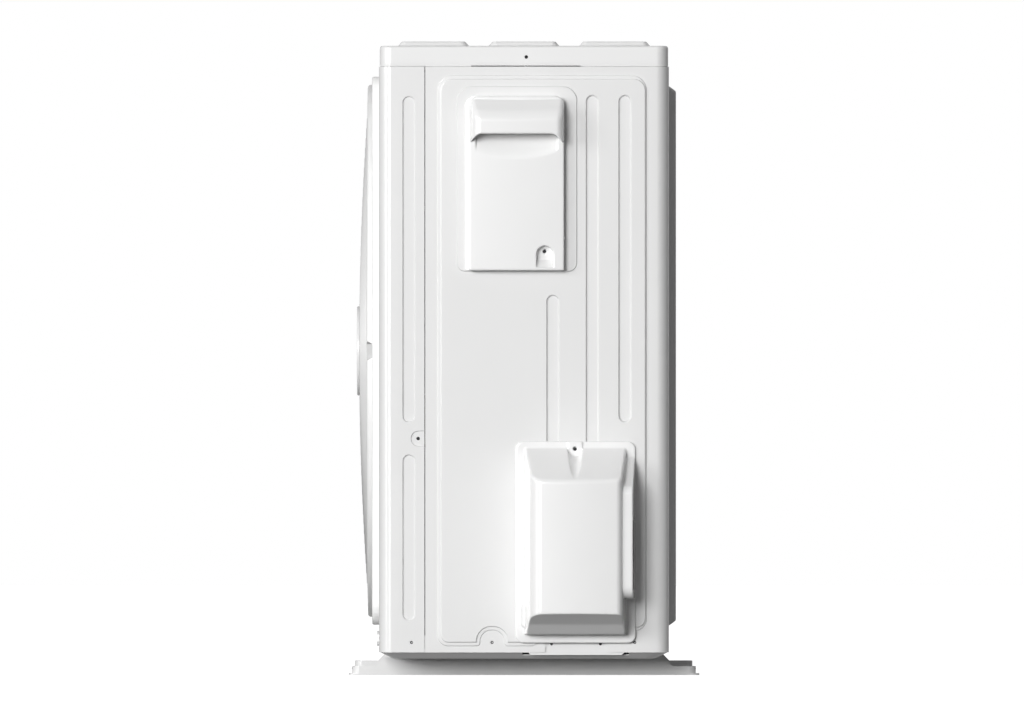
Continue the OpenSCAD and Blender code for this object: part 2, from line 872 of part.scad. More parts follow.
module suction_pipe() {
    top_z = rev.z + 66;
    color(copper_colour) route([[rev.x, rev.y, rev.z + 30], [rev.x, rev.y, top_z],
        [acc.x, rev.y, top_z], [acc.x, acc.y, top_z], [acc.x, acc.y, 260]], 8, 20);
}

module gas_pipe() {
    y = rev.y + stub_pitch;
    top_z = rev.z + 56;
    color(copper_colour) route([[rev.x, y, rev.z + 30], [rev.x, y, top_z], [rev.x + 44, y, top_z],
        [rev.x + 44, y, gas_z + 40], [rev.x + 44, valve_y, gas_z + 40], [rev.x + 44, valve_y, gas_z],
        [valve_x, valve_y, gas_z]], 6, 8);
}

module liquid_pipe() {
    x = 446;
    y = 120;
    low_z = 330;
    color(copper_colour) {
        route([[exv.x, exv.y, exv_low_z], [exv.x, exv.y, low_z], [exv.x, y, low_z], [x, y, low_z],
            [x, y, liquid_z], [x, valve_y, liquid_z], [valve_x, valve_y, liquid_z]], 4, 8);
        route([[exv.x, exv.y, exv_high_z], [exv.x, exv.y, exv_high_z + 30],
            [exv.x, coil_y1 - coil_d / 2 - 8, exv_high_z + 30]], 4, 8);
    }
}

// ---- Service valves ------------------------------------------------------------------

module valve_plate() {
    t = 1.6;
    step_z = 56;
    lip_x = rim_w / 2;
    color(cabinet_colour) difference() {
        union() {
            on_x(valve_x - 2, 2) rbox(4, 128, step_z - t, 262, 6);
            slab([valve_x - 2, 4, step_z - t], [lip_x, 128, step_z]);
            on_x(lip_x - t, t) polygon([[3.8, step_z], [3.8, 31.9], [8.7, 26.8],
                [124.6, 26.8], [130, 31.9], [130, step_z]]);
        }
        for (z = [gas_z, liquid_z]) bar_x(valve_x - 3, valve_y, z, 5, 8.2);
        for (p = [side_screws[2], side_screws[3]]) bar_x(lip_x - 5, p[0], p[1], 6, screw_r + 0.1);
    }
}

// Valve body: flange, barrel along +X with a flare thread, and an upright stem housing
module valve_body(z, thread_r, body_r) {
    barrel_l = 31;
    thread_l = 18;
    color([0.80, 0.66, 0.36]) difference() {
        union() {
            on_x(valve_x, 3) translate([valve_y, z]) rrect(54, 40, 6);
            bar_x(valve_x, valve_y, z, barrel_l, body_r);
            bar_x(valve_x + barrel_l - eps, valve_y, z, thread_l + eps, thread_r);
            bar_z(valve_x + 18, valve_y, z, body_r + 22, body_r - 2);
        }
        bar_x(valve_x - eps, valve_y, z, barrel_l + thread_l + 3, thread_r * 0.62);
    }
}

// Cap over the stem housing of a valve
module valve_cap(z, body_r) {
    clearance = 0.3;
    low_z = z + body_r + 2;
    color([0.80, 0.66, 0.36]) difference() {
        union() {
            bar_z(valve_x + 18, valve_y, low_z, 26, body_r + 1);
            on_z(low_z + 18, 9) translate([valve_x + 18, valve_y]) circle(body_r + 2, $fn = 6);
        }
        bar_z(valve_x + 18, valve_y, low_z - eps, 20 + eps + clearance, body_r - 2 + clearance);
    }
}

module gas_valve_body() {
    color([0.80, 0.66, 0.36]) difference() {
        union() {
            valve_body(gas_z, gas_r, 14);
            bar_y(valve_x + 18, valve_y - 34, gas_z, 24, 4.5);
        }
        bar_x(valve_x - eps, valve_y, gas_z, 52, gas_r * 0.62);
    }
}

module gas_valve_cap() {
    valve_cap(gas_z, 14);
}

module liquid_valve_body() {
    valve_body(liquid_z, liquid_r, 12);
}

module liquid_valve_cap() {
    valve_cap(liquid_z, 12);
}

module charge_port_cap() {
    l = 14;
    clearance = 0.3;
    color([0.80, 0.66, 0.36]) difference() {
        bar_y(valve_x + 18, valve_y - 38, gas_z, l, 7);
        bar_y(valve_x + 18, valve_y - 34 - clearance, gas_z, l, 4.5 + clearance);
    }
}

module drain_nozzle() {
    spout_z = 5;
    color([0.25, 0.25, 0.26]) difference() {
        union() {
            bar_z(drain.x, drain.y, spout_z, pan_z - spout_z - 2, drain_r);
            bar_z(drain.x, drain.y, pan_z - 2, 2, drain_r + 8);
            bar_z(drain.x, drain.y, pan_z - eps, pan_t + 2 + eps, drain_r - 0.7);
        }
        bar_z(drain.x, drain.y, spout_z - eps, 40, drain_r - 3);
    }
}

// ---- Electrics -----------------------------------------------------------------------

box_lo = [268, -165, 600];
box_hi = [432, 110, 768];

module control_box() {
    t = 1;
    color(zinc_colour) difference() {
        slab(box_lo, box_hi);
        slab(box_lo + [t, t, t], box_hi + [-t, -t, eps]);
    }
}

module main_board() {
    color([0.10, 0.35, 0.18])
        slab(box_lo + [8, 8, 12], [box_hi.x - 8, box_hi.y - 8, box_lo.z + 13.6]);
}

module heat_sink() {
    fins = 12;
    base_t = 6;
    fin_h = 30;
    pitch = 10;
    lo = [280, -150, box_lo.z - base_t - fin_h];
    color([0.75, 0.77, 0.78]) {
        slab([lo.x, lo.y, box_lo.z - base_t], [lo.x + 120, lo.y + 112.5, box_lo.z]);
        for (i = [0 : fins - 1])
            slab([lo.x, lo.y + i * pitch, lo.z], [lo.x + 120, lo.y + i * pitch + 2.5, box_lo.z - base_t]);
    }
}

module board_capacitors() {
    z = box_lo.z + 13.6;
    color([0.10, 0.12, 0.16]) for (x = [300, 340, 380], y = [20, 60]) bar_z(x, y, z, 50, 15);
}

module reactor() {
    color([0.40, 0.30, 0.22]) {
        slab([partition_x + 4, -165, 300], [330, -112, 350]);
        slab([partition_x + 1, -170, 292], [partition_x + 4, -107, 358]);
    }
}

module terminal_block() {
    ways = 6;
    color([0.90, 0.89, 0.84]) {
        slab([box_hi.x, -56, 548], [440, 36, 690]);
        for (i = [0 : ways - 1])
            slab([440, -52 + i * 14.5, 610], [456, -52 + i * 14.5 + 12, 670]);
    }
}

module cable_clamp() {
    color([0.12, 0.12, 0.13]) difference() {
        slab([440, -30, 550], [462, 16, 572]);
        for (y = [-18, 4]) bar_z(451, y, 549, 30, 7);
    }
}

// ---- Service covers ------------------------------------------------------------------

// Outer form of the wiring cover
module wiring_form() {
    hood_x = pad_x + hood_depth;
    flat_x = pad_x + flat_depth;
    intersection() {
        on_y(wire_y0, wire_y1 - wire_y0) polygon([
            [pad_x, wire_z0], [flat_x, wire_z0 + 2], [flat_x, hood_lip_z],
            [hood_x, hood_lip_z], [hood_x, 716], [hood_x - 9, 721],
            [pad_x + 8, wire_z1], [pad_x, wire_z1]]);
        on_x(pad_x, hood_depth) rbox(wire_y0, wire_y1, wire_z0, wire_z1, 10);
    }
}

module wiring_cover() {
    t = plastic_t;
    grip_y0 = -59;
    grip_y1 = 41;
    grip_depth = 11;
    flat_x = pad_x + flat_depth;
    hood_x = pad_x + hood_depth;
    color([0.93, 0.93, 0.93]) difference() {
        union() {
            wiring_form();
            on_x(pad_x, 1.5) rbox(-75.3, wire_y1, wire_z0, 700, 3);
            // Legs of the hood beside the finger grip
            for (y = [wire_y0, grip_y1]) slab([flat_x - eps, y, 681],
                [hood_x - 2, y + (y < 0 ? grip_y0 - wire_y0 : wire_y1 - grip_y1), hood_lip_z + eps]);
        }
        // Hollow behind the flat
        on_x(pad_x - eps, flat_depth - t + eps) difference() {
            rbox(wire_y0 + t, wire_y1 - t, wire_z0 + t, 648, 6);
            rbox(12, wire_y1, wire_z0, 554, 4);
        }
        // Finger grip under the hood
        slab([flat_x - grip_depth, grip_y0, 655], [hood_x - 2 * t, grip_y1, 712]);
        // Pocket of the screw
        on_x(pad_x + 4, flat_depth) union() {
            rbox(15.7, 37.3, 520.9, 541, 3);
            translate([26.5, 538]) circle(10.5);
        }
        bar_x(pad_x - eps, 26, 541.7, 10, hole_r);
    }
}

module wiring_cover_screw() {
    color("dimgray") bar_x(pad_x - 9, 26, 541.7, 12, screw_r);
}

// Height of the channel beside the hood of the valve cover, above its flange
conduit_h = 57;

// Outer form of the valve cover's hood, drawn g smaller all round
module valve_form(g) {
    base_x = field_x + flange_t;
    out_x = field_x + valve_cover_depth - g;
    intersection() {
        on_y(0, 131) polygon([[base_x - eps, 289.5 - g], [base_x, 289.5 - g], [out_x, 248.5 - g],
            [out_x, 79.7 + g], [out_x - 30, 66.9 + g], [out_x - 47, 53.6 + g], [base_x - eps, 53.6 + g]]);
        on_z(40, 260) polygon([[base_x - eps, g], [base_x, g], [out_x - 6, 8.4 + g],
            [out_x, 13 + g], [out_x, 121 - g], [out_x - 4, 124.3 - g], [base_x, 130.8 - g],
            [base_x - eps, 130.8 - g]]);
    }
}

// Outer form of the channel along the hood's rear edge, drawn g smaller all round
module conduit_form(g) {
    base_x = field_x + flange_t;
    out_x = base_x + conduit_h - g;
    low_z = 99.9 + g;
    intersection() {
        on_y(112, 32) polygon([[base_x - eps, low_z], [out_x - 14, low_z], [out_x - 5, low_z + 4],
            [out_x, low_z + 13], [out_x, 238 - g], [base_x, 278.4 - g], [base_x - eps, 278.4 - g]]);
        on_z(90, 200) polygon([[base_x - eps, 112], [out_x, 112], [out_x, 138.7 - g],
            [base_x, 141.2 - g], [base_x - eps, 141.2 - g]]);
    }
}

module valve_cover() {
    t = plastic_t;
    base_x = field_x + flange_t;
    color([0.93, 0.93, 0.93]) difference() {
        union() {
            on_x(field_x, flange_t) rbox(valve_y0, valve_y1, valve_z0, valve_z1, 10);
            valve_form(0);
            conduit_form(0);
            // Clip beside the lower front corner
            slab([base_x - eps, -3.3, 61.7], [base_x + 8, 7.7, 91]);
            // Boss of the screw
            bar_x(base_x - eps, 65.1, 289.5, 6, 9.5);
        }
        valve_form(t);
        conduit_form(t);
        // Open back of the hood and of the channel
        on_x(field_x - eps, flange_t + 2 * eps) {
            rbox(t, 130.8 - t, 53.6 + t, 284, 4);
            rbox(120, 141.2 - t, 99.9 + t, 275, 2);
        }
        // Way out for the pipes, towards the rear
        slab([base_x + 6, 130, 110], [base_x + conduit_h - 8, 150, 200]);
        bar_x(field_x - eps, 65.1, 289.5, 12, 2.5);
        // Groove that leads a screwdriver to the screw
        bar_x(base_x + 4, 65.1, 289.5, 30, 6);
    }
}

module valve_cover_screw() {
    color("dimgray") bar_x(field_x - 9, 65.1, 289.5, 12, screw_r);
}

base_pan();
foot_left();
foot_right();
front_panel();
side_panel();
left_grille();
rear_frame();
rear_grille();
top_cover();
top_cover_screws();
guard_base();
fan_grille();
hub_cap();
badge_plate();
wiring_cover();
wiring_cover_screw();
valve_cover();
valve_cover_screw();
cabinet_screws();
fan_orifice();
fan_propeller();
fan_nut();
motor_shaft();
fan_motor();
motor_bracket();
motor_screws();
coil_fins();
coil_end_plates();
coil_return_bends();
coil_header();
partition_plate();
compressor_shell();
compressor_base();
compressor_grommets();
compressor_nuts();
compressor_terminal_cover();
accumulator();
accumulator_strap();
reversing_valve();
reversing_valve_coil();
expansion_valve();
discharge_pipe();
suction_pipe();
gas_pipe();
liquid_pipe();
valve_plate();
gas_valve_body();
gas_valve_cap();
liquid_valve_body();
liquid_valve_cap();
charge_port_cap();
control_box();
main_board();
heat_sink();
board_capacitors();
reactor();
terminal_block();
cable_clamp();
drain_nozzle();
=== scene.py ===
"""Looks of an air conditioner outdoor unit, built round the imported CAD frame.

Lengths in this script are millimetres in the frame's own axes, and MM turns them into metres.
"""

import json
import math

import bmesh
import bpy
import numpy as np
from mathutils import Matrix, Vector
from mathutils.geometry import delaunay_2d_cdt

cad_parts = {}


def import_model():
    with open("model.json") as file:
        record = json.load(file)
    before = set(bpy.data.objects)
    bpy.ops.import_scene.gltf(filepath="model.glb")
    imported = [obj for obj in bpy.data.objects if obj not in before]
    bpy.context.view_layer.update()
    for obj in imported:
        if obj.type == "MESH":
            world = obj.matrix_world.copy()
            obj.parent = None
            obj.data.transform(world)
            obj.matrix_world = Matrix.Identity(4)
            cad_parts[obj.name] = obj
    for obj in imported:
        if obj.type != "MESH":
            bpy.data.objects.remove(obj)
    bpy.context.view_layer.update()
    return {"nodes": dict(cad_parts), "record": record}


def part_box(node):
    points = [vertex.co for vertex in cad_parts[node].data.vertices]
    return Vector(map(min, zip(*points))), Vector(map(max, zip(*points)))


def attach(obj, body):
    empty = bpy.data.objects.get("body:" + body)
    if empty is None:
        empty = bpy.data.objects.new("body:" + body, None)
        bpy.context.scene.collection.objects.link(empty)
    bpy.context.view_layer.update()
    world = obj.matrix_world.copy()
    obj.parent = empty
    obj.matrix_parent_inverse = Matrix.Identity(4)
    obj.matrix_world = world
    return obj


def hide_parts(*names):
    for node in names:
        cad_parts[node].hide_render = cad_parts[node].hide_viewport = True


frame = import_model()

MM = 0.001


def corners(node):
    """Lowest and highest corner of a CAD node, in millimetres."""
    lo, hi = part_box(node)
    return np.array(lo) / MM, np.array(hi) / MM


# ---- Places read from the frame ----------------------------------------------------------

SIDE_LO, SIDE_HI = corners("side_panel")
FRONT_LO, FRONT_HI = corners("front_panel")
ROOF_LO, ROOF_HI = corners("top_cover")
VALVE_LO, VALVE_HI = corners("valve_cover")
PAN_LO, PAN_HI = corners("base_pan")
GUARD_LO, GUARD_HI = corners("guard_base")
CAP_LO, CAP_HI = corners("hub_cap")
REAR_LO, REAR_HI = corners("rear_grille")
FAN_LO, FAN_HI = corners("fan_propeller")
COIL_LO, COIL_HI = corners("coil_fins")
LEFT_LO, LEFT_HI = corners("left_grille")

# ---- Sizes shared by several pieces ------------------------------------------------------

SHEET = 1.2                       # thickness of the panels
SIDE_X = FRONT_HI[0]              # plane of the service side
FACE_Y = FRONT_LO[1]              # plane of the front
REAR_Y = SIDE_HI[1]               # plane of the rear
BODY_Z = SIDE_LO[2]               # lower edge of the panels
SEAM_Z = SIDE_HI[2]               # upper edge of the panels
SEAM_Y = FRONT_HI[1]              # seam between front and side panel
CORNER_R = 16                     # upright corners
FIELD_H = 3                       # raised field of the side panel
PAD_H = SIDE_HI[0] - SIDE_X - FIELD_H
FIELD_X = SIDE_X + FIELD_H
PAD_X = FIELD_X + PAD_H
FAN_X = (GUARD_LO[0] + GUARD_HI[0]) / 2
FAN_Z = (GUARD_LO[2] + GUARD_HI[2]) / 2
HOLE_R = 2.3                      # screw holes in the sheets
# Screws as (y, z), on the service side
ROOF_SCREW = (2.9, 789.8)
FRONT_SCREWS = [(-135.0, 303.0), (-143.4, 42.7)]
SIDE_SCREWS = [(-40.6, 42.7), (141.5, 42.7)]
VALVE_PLATE_SCREWS = [(35.2, 41.0), (97.5, 41.0)]

# Light: distance and size in metres, powers in watts, levels as the world's strength
LIGHT_DISTANCE = 14.0
LIGHT_SIZE = 6.0
KEY_POWER = 1370
FILL_POWER = 640
FAR_POWER = 480
TOP_POWER = 2
AMBIENT_LOW = 0.015               # from below the horizon
AMBIENT_HIGH = 0.17               # from above it
GLOSSY_ROOM = 0.45
FLOOR_GLOW = 0.94


# ---- Materials ---------------------------------------------------------------------------

def new_material(name):
    """An empty node material with its Principled shader and its node tree."""
    mat = bpy.data.materials.new(name)
    mat.use_nodes = True
    return mat, mat.node_tree, mat.node_tree.nodes["Principled BSDF"]


def add_node(tree, kind, **values):
    """A node with its inputs set by name."""
    node = tree.nodes.new(kind)
    for key, value in values.items():
        node.inputs[key].default_value = value
    return node


def noise(tree, scale, detail=3.0, stretch=(1, 1, 1)):
    """Noise in object space, scale in cycles per metre."""
    where = tree.nodes.new("ShaderNodeTexCoord")
    shape = tree.nodes.new("ShaderNodeMapping")
    shape.inputs["Scale"].default_value = stretch
    tree.links.new(where.outputs["Object"], shape.inputs["Vector"])
    tex = add_node(tree, "ShaderNodeTexNoise", Scale=scale, Detail=detail)
    tree.links.new(shape.outputs["Vector"], tex.inputs["Vector"])
    return tex.outputs["Fac"]


def ramp(tree, source, low, high, at=(0.35, 0.65)):
    """Maps a value between two greys or two colours."""
    node = tree.nodes.new("ShaderNodeValToRGB")
    node.color_ramp.elements[0].position, node.color_ramp.elements[1].position = at
    node.color_ramp.elements[0].color = (*low, 1)
    node.color_ramp.elements[1].color = (*high, 1)
    tree.links.new(source, node.inputs["Fac"])
    return node.outputs["Color"]


def grey(v):
    """The grey of that value, as a colour."""
    return (v, v, v)


def worn_edges(tree, colour, wear):
    """Mixes the wear colour in along convex edges, where the finish has rubbed thin."""
    geometry = tree.nodes.new("ShaderNodeNewGeometry")
    edge = ramp(tree, geometry.outputs["Pointiness"], grey(0), grey(1), (0.53, 0.60))
    spots = ramp(tree, noise(tree, 60, 5), grey(0), grey(1), (0.52, 0.7))
    both = tree.nodes.new("ShaderNodeMath")
    both.operation = "MULTIPLY"
    tree.links.new(edge, both.inputs[0])
    tree.links.new(spots, both.inputs[1])
    mix = tree.nodes.new("ShaderNodeMix")
    mix.data_type = "RGBA"
    tree.links.new(both.outputs[0], mix.inputs["Factor"])
    tree.links.new(colour, mix.inputs["A"])
    mix.inputs["B"].default_value = (*wear, 1)
    return mix.outputs["Result"]


def finish_material(name, colour, vary=0.02, rough=(0.38, 0.5), grain=900, bump=0.05,
                    metallic=0.0, stretch=(1, 1, 1), patch=9, wear=None, bump_mm=0.05,
                    coat=0.0, coat_rough=0.15):
    """A surface with patchy colour, uneven gloss, fine relief and edges that wear.

    vary is the share by which the colour changes from patch to patch. patch and grain are the
    scales of the patches and of the relief, in cycles per metre.
    """
    mat, tree, shader = new_material(name)
    colour = np.array(colour, dtype=float)
    darker, lighter = (np.clip(colour * share, 0, 1) for share in (1 - vary, 1 + vary))
    result = ramp(tree, noise(tree, patch, 4, stretch), darker, lighter)
    if wear is not None:
        result = worn_edges(tree, result, wear)
    tree.links.new(result, shader.inputs["Base Color"])
    gloss = ramp(tree, noise(tree, 35, 4, stretch), grey(rough[0]), grey(rough[1]), (0.3, 0.7))
    tree.links.new(gloss, shader.inputs["Roughness"])
    relief = add_node(tree, "ShaderNodeBump", Strength=bump, Distance=bump_mm * MM)
    tree.links.new(noise(tree, grain, 3, stretch), relief.inputs["Height"])
    tree.links.new(relief.outputs["Normal"], shader.inputs["Normal"])
    shader.inputs["Metallic"].default_value = metallic
    shader.inputs["Coat Weight"].default_value = coat
    shader.inputs["Coat Roughness"].default_value = coat_rough
    return mat


WHITE = (0.80, 0.80, 0.797)
ROOF_WHITE = (0.84, 0.84, 0.837)
COVER_WHITE = (0.88, 0.88, 0.877)
GUARD_WHITE = (0.86, 0.86, 0.856)
GRILLE_WHITE = (0.70, 0.70, 0.697)
# Painted light: the rear guard's white is lighter than the other whites, so the guard reads brighter in
# the cabinet's shadow
REAR_WHITE_PAINTED_LIGHT = (0.90, 0.905, 0.905)

powder = finish_material("powder_coat", WHITE, vary=0.006, rough=(0.34, 0.42), grain=1400,
                         bump=0.18, bump_mm=0.03, wear=(0.785, 0.785, 0.785), coat=0.8)
roof_powder = finish_material("roof_powder_coat", ROOF_WHITE, vary=0.006, rough=(0.34, 0.42),
                              grain=1400, bump=0.18, bump_mm=0.03, wear=(0.825, 0.825, 0.825),
                              coat=0.8)
moulded = finish_material("moulded_white", COVER_WHITE, vary=0.005, rough=(0.28, 0.36),
                          grain=2600, bump=0.12, bump_mm=0.02, wear=(0.865, 0.865, 0.865), coat=1.0)
guard_plastic = finish_material("guard_plastic", GUARD_WHITE, vary=0.008,
                                rough=(0.4, 0.52), grain=2200, bump=0.14, bump_mm=0.03,
                                coat=0.6, coat_rough=0.25)
grille_plastic = finish_material("grille_plastic", GRILLE_WHITE, vary=0.008,
                                 rough=(0.4, 0.52), grain=2200, bump=0.14, bump_mm=0.03,
                                 coat=0.4, coat_rough=0.25)
# Painted light: a lighter copy of the white plastic that brightens the rear guard in the cabinet's
# shadow
rear_plastic_painted_light = finish_material("rear_guard_plastic_painted_light", REAR_WHITE_PAINTED_LIGHT, vary=0.01, rough=(0.42, 0.55),
                               grain=2200, bump=0.14, bump_mm=0.03)
screw_black = finish_material("screw_black", (0.012, 0.012, 0.015), vary=0.2, rough=(0.35, 0.6),
                              grain=1800, bump=0.2)
zinc = finish_material("galvanised", (0.52, 0.54, 0.55), vary=0.12, rough=(0.28, 0.48), grain=70,
                       bump=0.04, metallic=0.9, patch=55, wear=(0.62, 0.63, 0.64))
steel = finish_material("plated_steel", (0.60, 0.60, 0.61), vary=0.05, rough=(0.22, 0.4),
                        grain=1200, bump=0.06, metallic=1.0)
badge_silver = finish_material("badge_silver", (0.80, 0.80, 0.80), vary=0.02, rough=(0.25, 0.4),
                               grain=700, bump=0.1, metallic=0.35, stretch=(0.05, 1, 1), coat=0.8)
aluminium = finish_material("mill_aluminium", (0.70, 0.72, 0.73), vary=0.05, rough=(0.3, 0.5),
                            grain=800, bump=0.08, metallic=0.9)
copper = finish_material("copper_tube", (0.78, 0.36, 0.20), vary=0.18, rough=(0.22, 0.45),
                         grain=500, bump=0.05, metallic=1.0, patch=25)
brass = finish_material("forged_brass", (0.76, 0.56, 0.24), vary=0.1, rough=(0.24, 0.42),
                        grain=900, bump=0.08, metallic=1.0, wear=(0.85, 0.68, 0.36))
black_paint = finish_material("black_paint", (0.012, 0.012, 0.014), vary=0.2, rough=(0.22, 0.36),
                              grain=300, bump=0.08, coat=0.3, wear=(0.10, 0.09, 0.08))
black_plastic = finish_material("black_plastic", (0.02, 0.02, 0.022), vary=0.15,
                                rough=(0.42, 0.6), grain=2200, bump=0.15)
rubber = finish_material("rubber", (0.015, 0.015, 0.015), vary=0.25, rough=(0.65, 0.85),
                         grain=1500, bump=0.2)
fan_plastic = finish_material("fan_plastic", (0.10, 0.105, 0.11), vary=0.08, rough=(0.36, 0.52),
                              grain=1800, bump=0.12, wear=(0.2, 0.2, 0.2))
motor_paint = finish_material("motor_paint", (0.05, 0.052, 0.055), vary=0.12, rough=(0.35, 0.5),
                              grain=600, bump=0.15, wear=(0.2, 0.2, 0.2))
board_green = finish_material("board_green", (0.012, 0.10, 0.04), vary=0.15, rough=(0.25, 0.4),
                              grain=250, bump=0.1, patch=120)
core_varnish = finish_material("core_varnish", (0.11, 0.06, 0.03), vary=0.2, rough=(0.25, 0.4),
                               grain=900, bump=0.2, stretch=(1, 1, 0.1))
ivory = finish_material("terminal_ivory", (0.66, 0.62, 0.52), vary=0.03, rough=(0.4, 0.5),
                        grain=1800, bump=0.1)

SLOT_MATERIAL = {
    "cabinet": powder, "covers": moulded, "guard": guard_plastic, "rear_guard": rear_plastic_painted_light,
    "badge": badge_silver, "screws": screw_black, "fan": fan_plastic, "steel": steel,
    "motor": motor_paint, "zinc": zinc, "fins": aluminium, "copper": copper, "brass": brass,
    "black_paint": black_paint, "rubber": rubber, "black_plastic": black_plastic,
    "board": board_green, "core": core_varnish, "terminal": ivory,
}
NODE_SLOT = {s["node"]: s["material_slot"] for s in frame["record"]["subparts"]}
NODE_BODY = {n: b for b, nodes in frame["record"]["behaviour"]["bodies"].items() for n in nodes}


# ---- Mesh helpers ------------------------------------------------------------------------

def piece(name, verts, faces, node, smooth=True, material=None, slot=None, sharp=42):
    """A mesh piece, given in millimetres, that stands for one CAD node."""
    slot = slot or NODE_SLOT[node]
    mesh = bpy.data.meshes.new(name)
    mesh.from_pydata((np.asarray(verts) * MM).tolist(), [], [list(f) for f in faces])
    mesh.validate()
    if smooth:
        mesh.shade_smooth()
        if sharp:
            mesh.set_sharp_from_angle(angle=math.radians(sharp))
    ob = bpy.data.objects.new(name, mesh)
    bpy.context.scene.collection.objects.link(ob)
    mesh.materials.append(material or SLOT_MATERIAL[slot])
    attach(ob, NODE_BODY[node])
    return ob


def weighted_normals(ob):
    """Lets the large faces decide the shading, so that flats stay flat beside small bends."""
    mod = ob.modifiers.new("weighted", "WEIGHTED_NORMAL")
    mod.keep_sharp = True
    mod.weight = 100


def solid_sheet(ob, thickness=SHEET):
    """Gives an open surface the thickness of its sheet, inwards, with crisp cut edges."""
    bm = bmesh.new()
    bm.from_mesh(ob.data)
    for edge in bm.edges:
        if edge.is_boundary:
            edge.smooth = False
    bm.to_mesh(ob.data)
    bm.free()
    mod = ob.modifiers.new("thickness", "SOLIDIFY")
    mod.thickness = thickness * MM
    mod.offset = -1
    mod.use_even_offset = True
    weighted_normals(ob)


def soften(ob, width, angle=35, segments=2):
    """Rounds the sharp edges of a piece."""
    mod = ob.modifiers.new("soft_edges", "BEVEL")
    mod.width = width * MM
    mod.segments = segments
    mod.limit_method = "ANGLE"
    mod.angle_limit = math.radians(angle)
    weighted_normals(ob)


class Shape:
    """Vertices and faces gathered for one piece, in millimetres."""

    def __init__(self):
        self.verts = []
        self.faces = []

    def loft(self, rings, wrap=True, closed=False, caps=False):
        """Joins rings of equal length; closed joins the last ring to the first as well."""
        first, n = len(self.verts), len(rings[0])
        for ring in rings:
            self.verts.extend(tuple(q) for q in ring)
        rows = len(rings)
        for i in range(rows if closed else rows - 1):
            a, b = first + i * n, first + (i + 1) % rows * n
            for k in range(n if wrap else n - 1):
                m = (k + 1) % n
                self.faces.append((a + k, a + m, b + m, b + k))
        if caps:
            self.faces.append(tuple(reversed(range(first, first + n))))
            self.faces.append(tuple(range(first + (rows - 1) * n, first + rows * n)))

    def bar(self, a, b, across, width, depth):
        """Straight bar from a to b with rounded corners; across is its width direction."""
        a, b = np.array(a, dtype=float), np.array(b, dtype=float)
        along = (b - a) / np.linalg.norm(b - a)
        u = np.array(across, dtype=float)
        v = np.cross(along, u)
        section = filleted(box_outline(-width / 2, width / 2, -depth / 2, depth / 2),
                           min(width, depth) * 0.3, 0, 2)
        self.loft([[e + u * p + v * q for p, q in section] for e in (a, b)], caps=True)

    def turned(self, profile, centre, segments, closed=False, shape=None):
        """Turns (radius, y) points round an axis along Y through centre (x, z)."""
        rings = []
        for r, y in profile:
            ring = []
            for k in range(segments):
                t = 2 * math.pi * k / segments
                rr = r if shape is None else shape(r, t)
                ring.append((centre[0] + rr * math.cos(t), y, centre[1] + rr * math.sin(t)))
            rings.append(ring)
        self.loft(rings, closed=closed)

    def piece(self, name, node, **options):
        return piece(name, self.verts, self.faces, node, **options)


def corner_of(a, b, c, inset):
    """Directions of the edges that meet at b, and where they meet when moved inwards."""
    d0 = (b - a) / np.linalg.norm(b - a)
    d1 = (c - b) / np.linalg.norm(c - b)
    n0, n1 = np.array([-d0[1], d0[0]]), np.array([-d1[1], d1[0]])
    return d0, d1, b + inset * (n0 + n1) / (1 + n0 @ n1)


def filleted(points, radii, inset=0.0, steps=8):
    """Closed outline with round corners, moved inwards by inset. Points run anticlockwise."""
    p = [np.array(q, dtype=float) for q in points]
    n = len(p)
    radii = [radii] * n if np.isscalar(radii) else radii
    out = []
    for i in range(n):
        d0, d1, corner = corner_of(p[i - 1], p[i], p[(i + 1) % n], inset)
        turn = d0[0] * d1[1] - d0[1] * d1[0]
        r = radii[i] - inset if turn > 0 else radii[i] + inset
        angle = math.acos(np.clip(d0 @ d1, -1, 1))
        if r <= 0.02 or angle < 1e-3:
            out.append(corner)
            continue
        cut = r * math.tan(angle / 2)
        side = 1 if turn > 0 else -1
        across = np.array([-d0[1], d0[0]])
        centre = corner - d0 * cut + side * across * r
        count = max(2, int(round(steps * angle / (math.pi / 2))))
        for k in range(count + 1):
            t = angle * k / count
            out.append(centre - side * across * r * math.cos(t) + d0 * r * math.sin(t))
    return out


def box_outline(a0, a1, b0, b1):
    """Corners of a rectangle, anticlockwise."""
    return [(a0, b0), (a1, b0), (a1, b1), (a0, b1)]


def slot_corners(a, b0, b1, width):
    """Corner points and radius of an upright slot with round ends."""
    r = width / 2
    return box_outline(a - r, a + r, b0, b1), r * 0.999


def circle_outline(a, b, r, steps=24):
    """Points of a circle, anticlockwise."""
    return [(a + r * math.cos(2 * math.pi * k / steps), b + r * math.sin(2 * math.pi * k / steps))
            for k in range(steps)]


def soft_step(width, height, low_r=0.3, steps=6):
    """Rows of (inset, height) that lead smoothly from 0 up to height across width."""
    rows = []
    for k in range(steps + 1):
        t = k / steps
        rows.append((width * t, height * (t * t * (3 - 2 * t) * (1 - low_r) + low_r * t)))
    return rows


def moved_inwards(points, radii, inset):
    """Corner points and radii of an outline moved inwards by inset."""
    p = [np.array(q, dtype=float) for q in points]
    new_points, new_radii = [], []
    for a, b, c, r in zip(p[-1:] + p[:-1], p, p[1:] + p[:1], radii):
        d0, d1, corner = corner_of(a, b, c, inset)
        left_turn = d0[0] * d1[1] - d0[1] * d1[0] > 0
        new_points.append(tuple(corner))
        new_radii.append(max(r - inset, 0.5) if left_turn else r + inset)
    return new_points, new_radii


def ring_with_stops(outline, radius, inset, steps, stops, both_sides=True):
    """Rounded outline with extra points at the given y on its long sides of constant x."""
    ring = []
    loop = filleted(outline, radius, inset, steps)
    for p, q in zip(loop, loop[1:] + loop[:1]):
        ring.append(tuple(p))
        rise = q[1] - p[1]
        if abs(rise) > 200 and (both_sides or rise > 0):
            ring += [(p[0], y) for y in (stops if rise > 0 else reversed(stops))]
    return ring


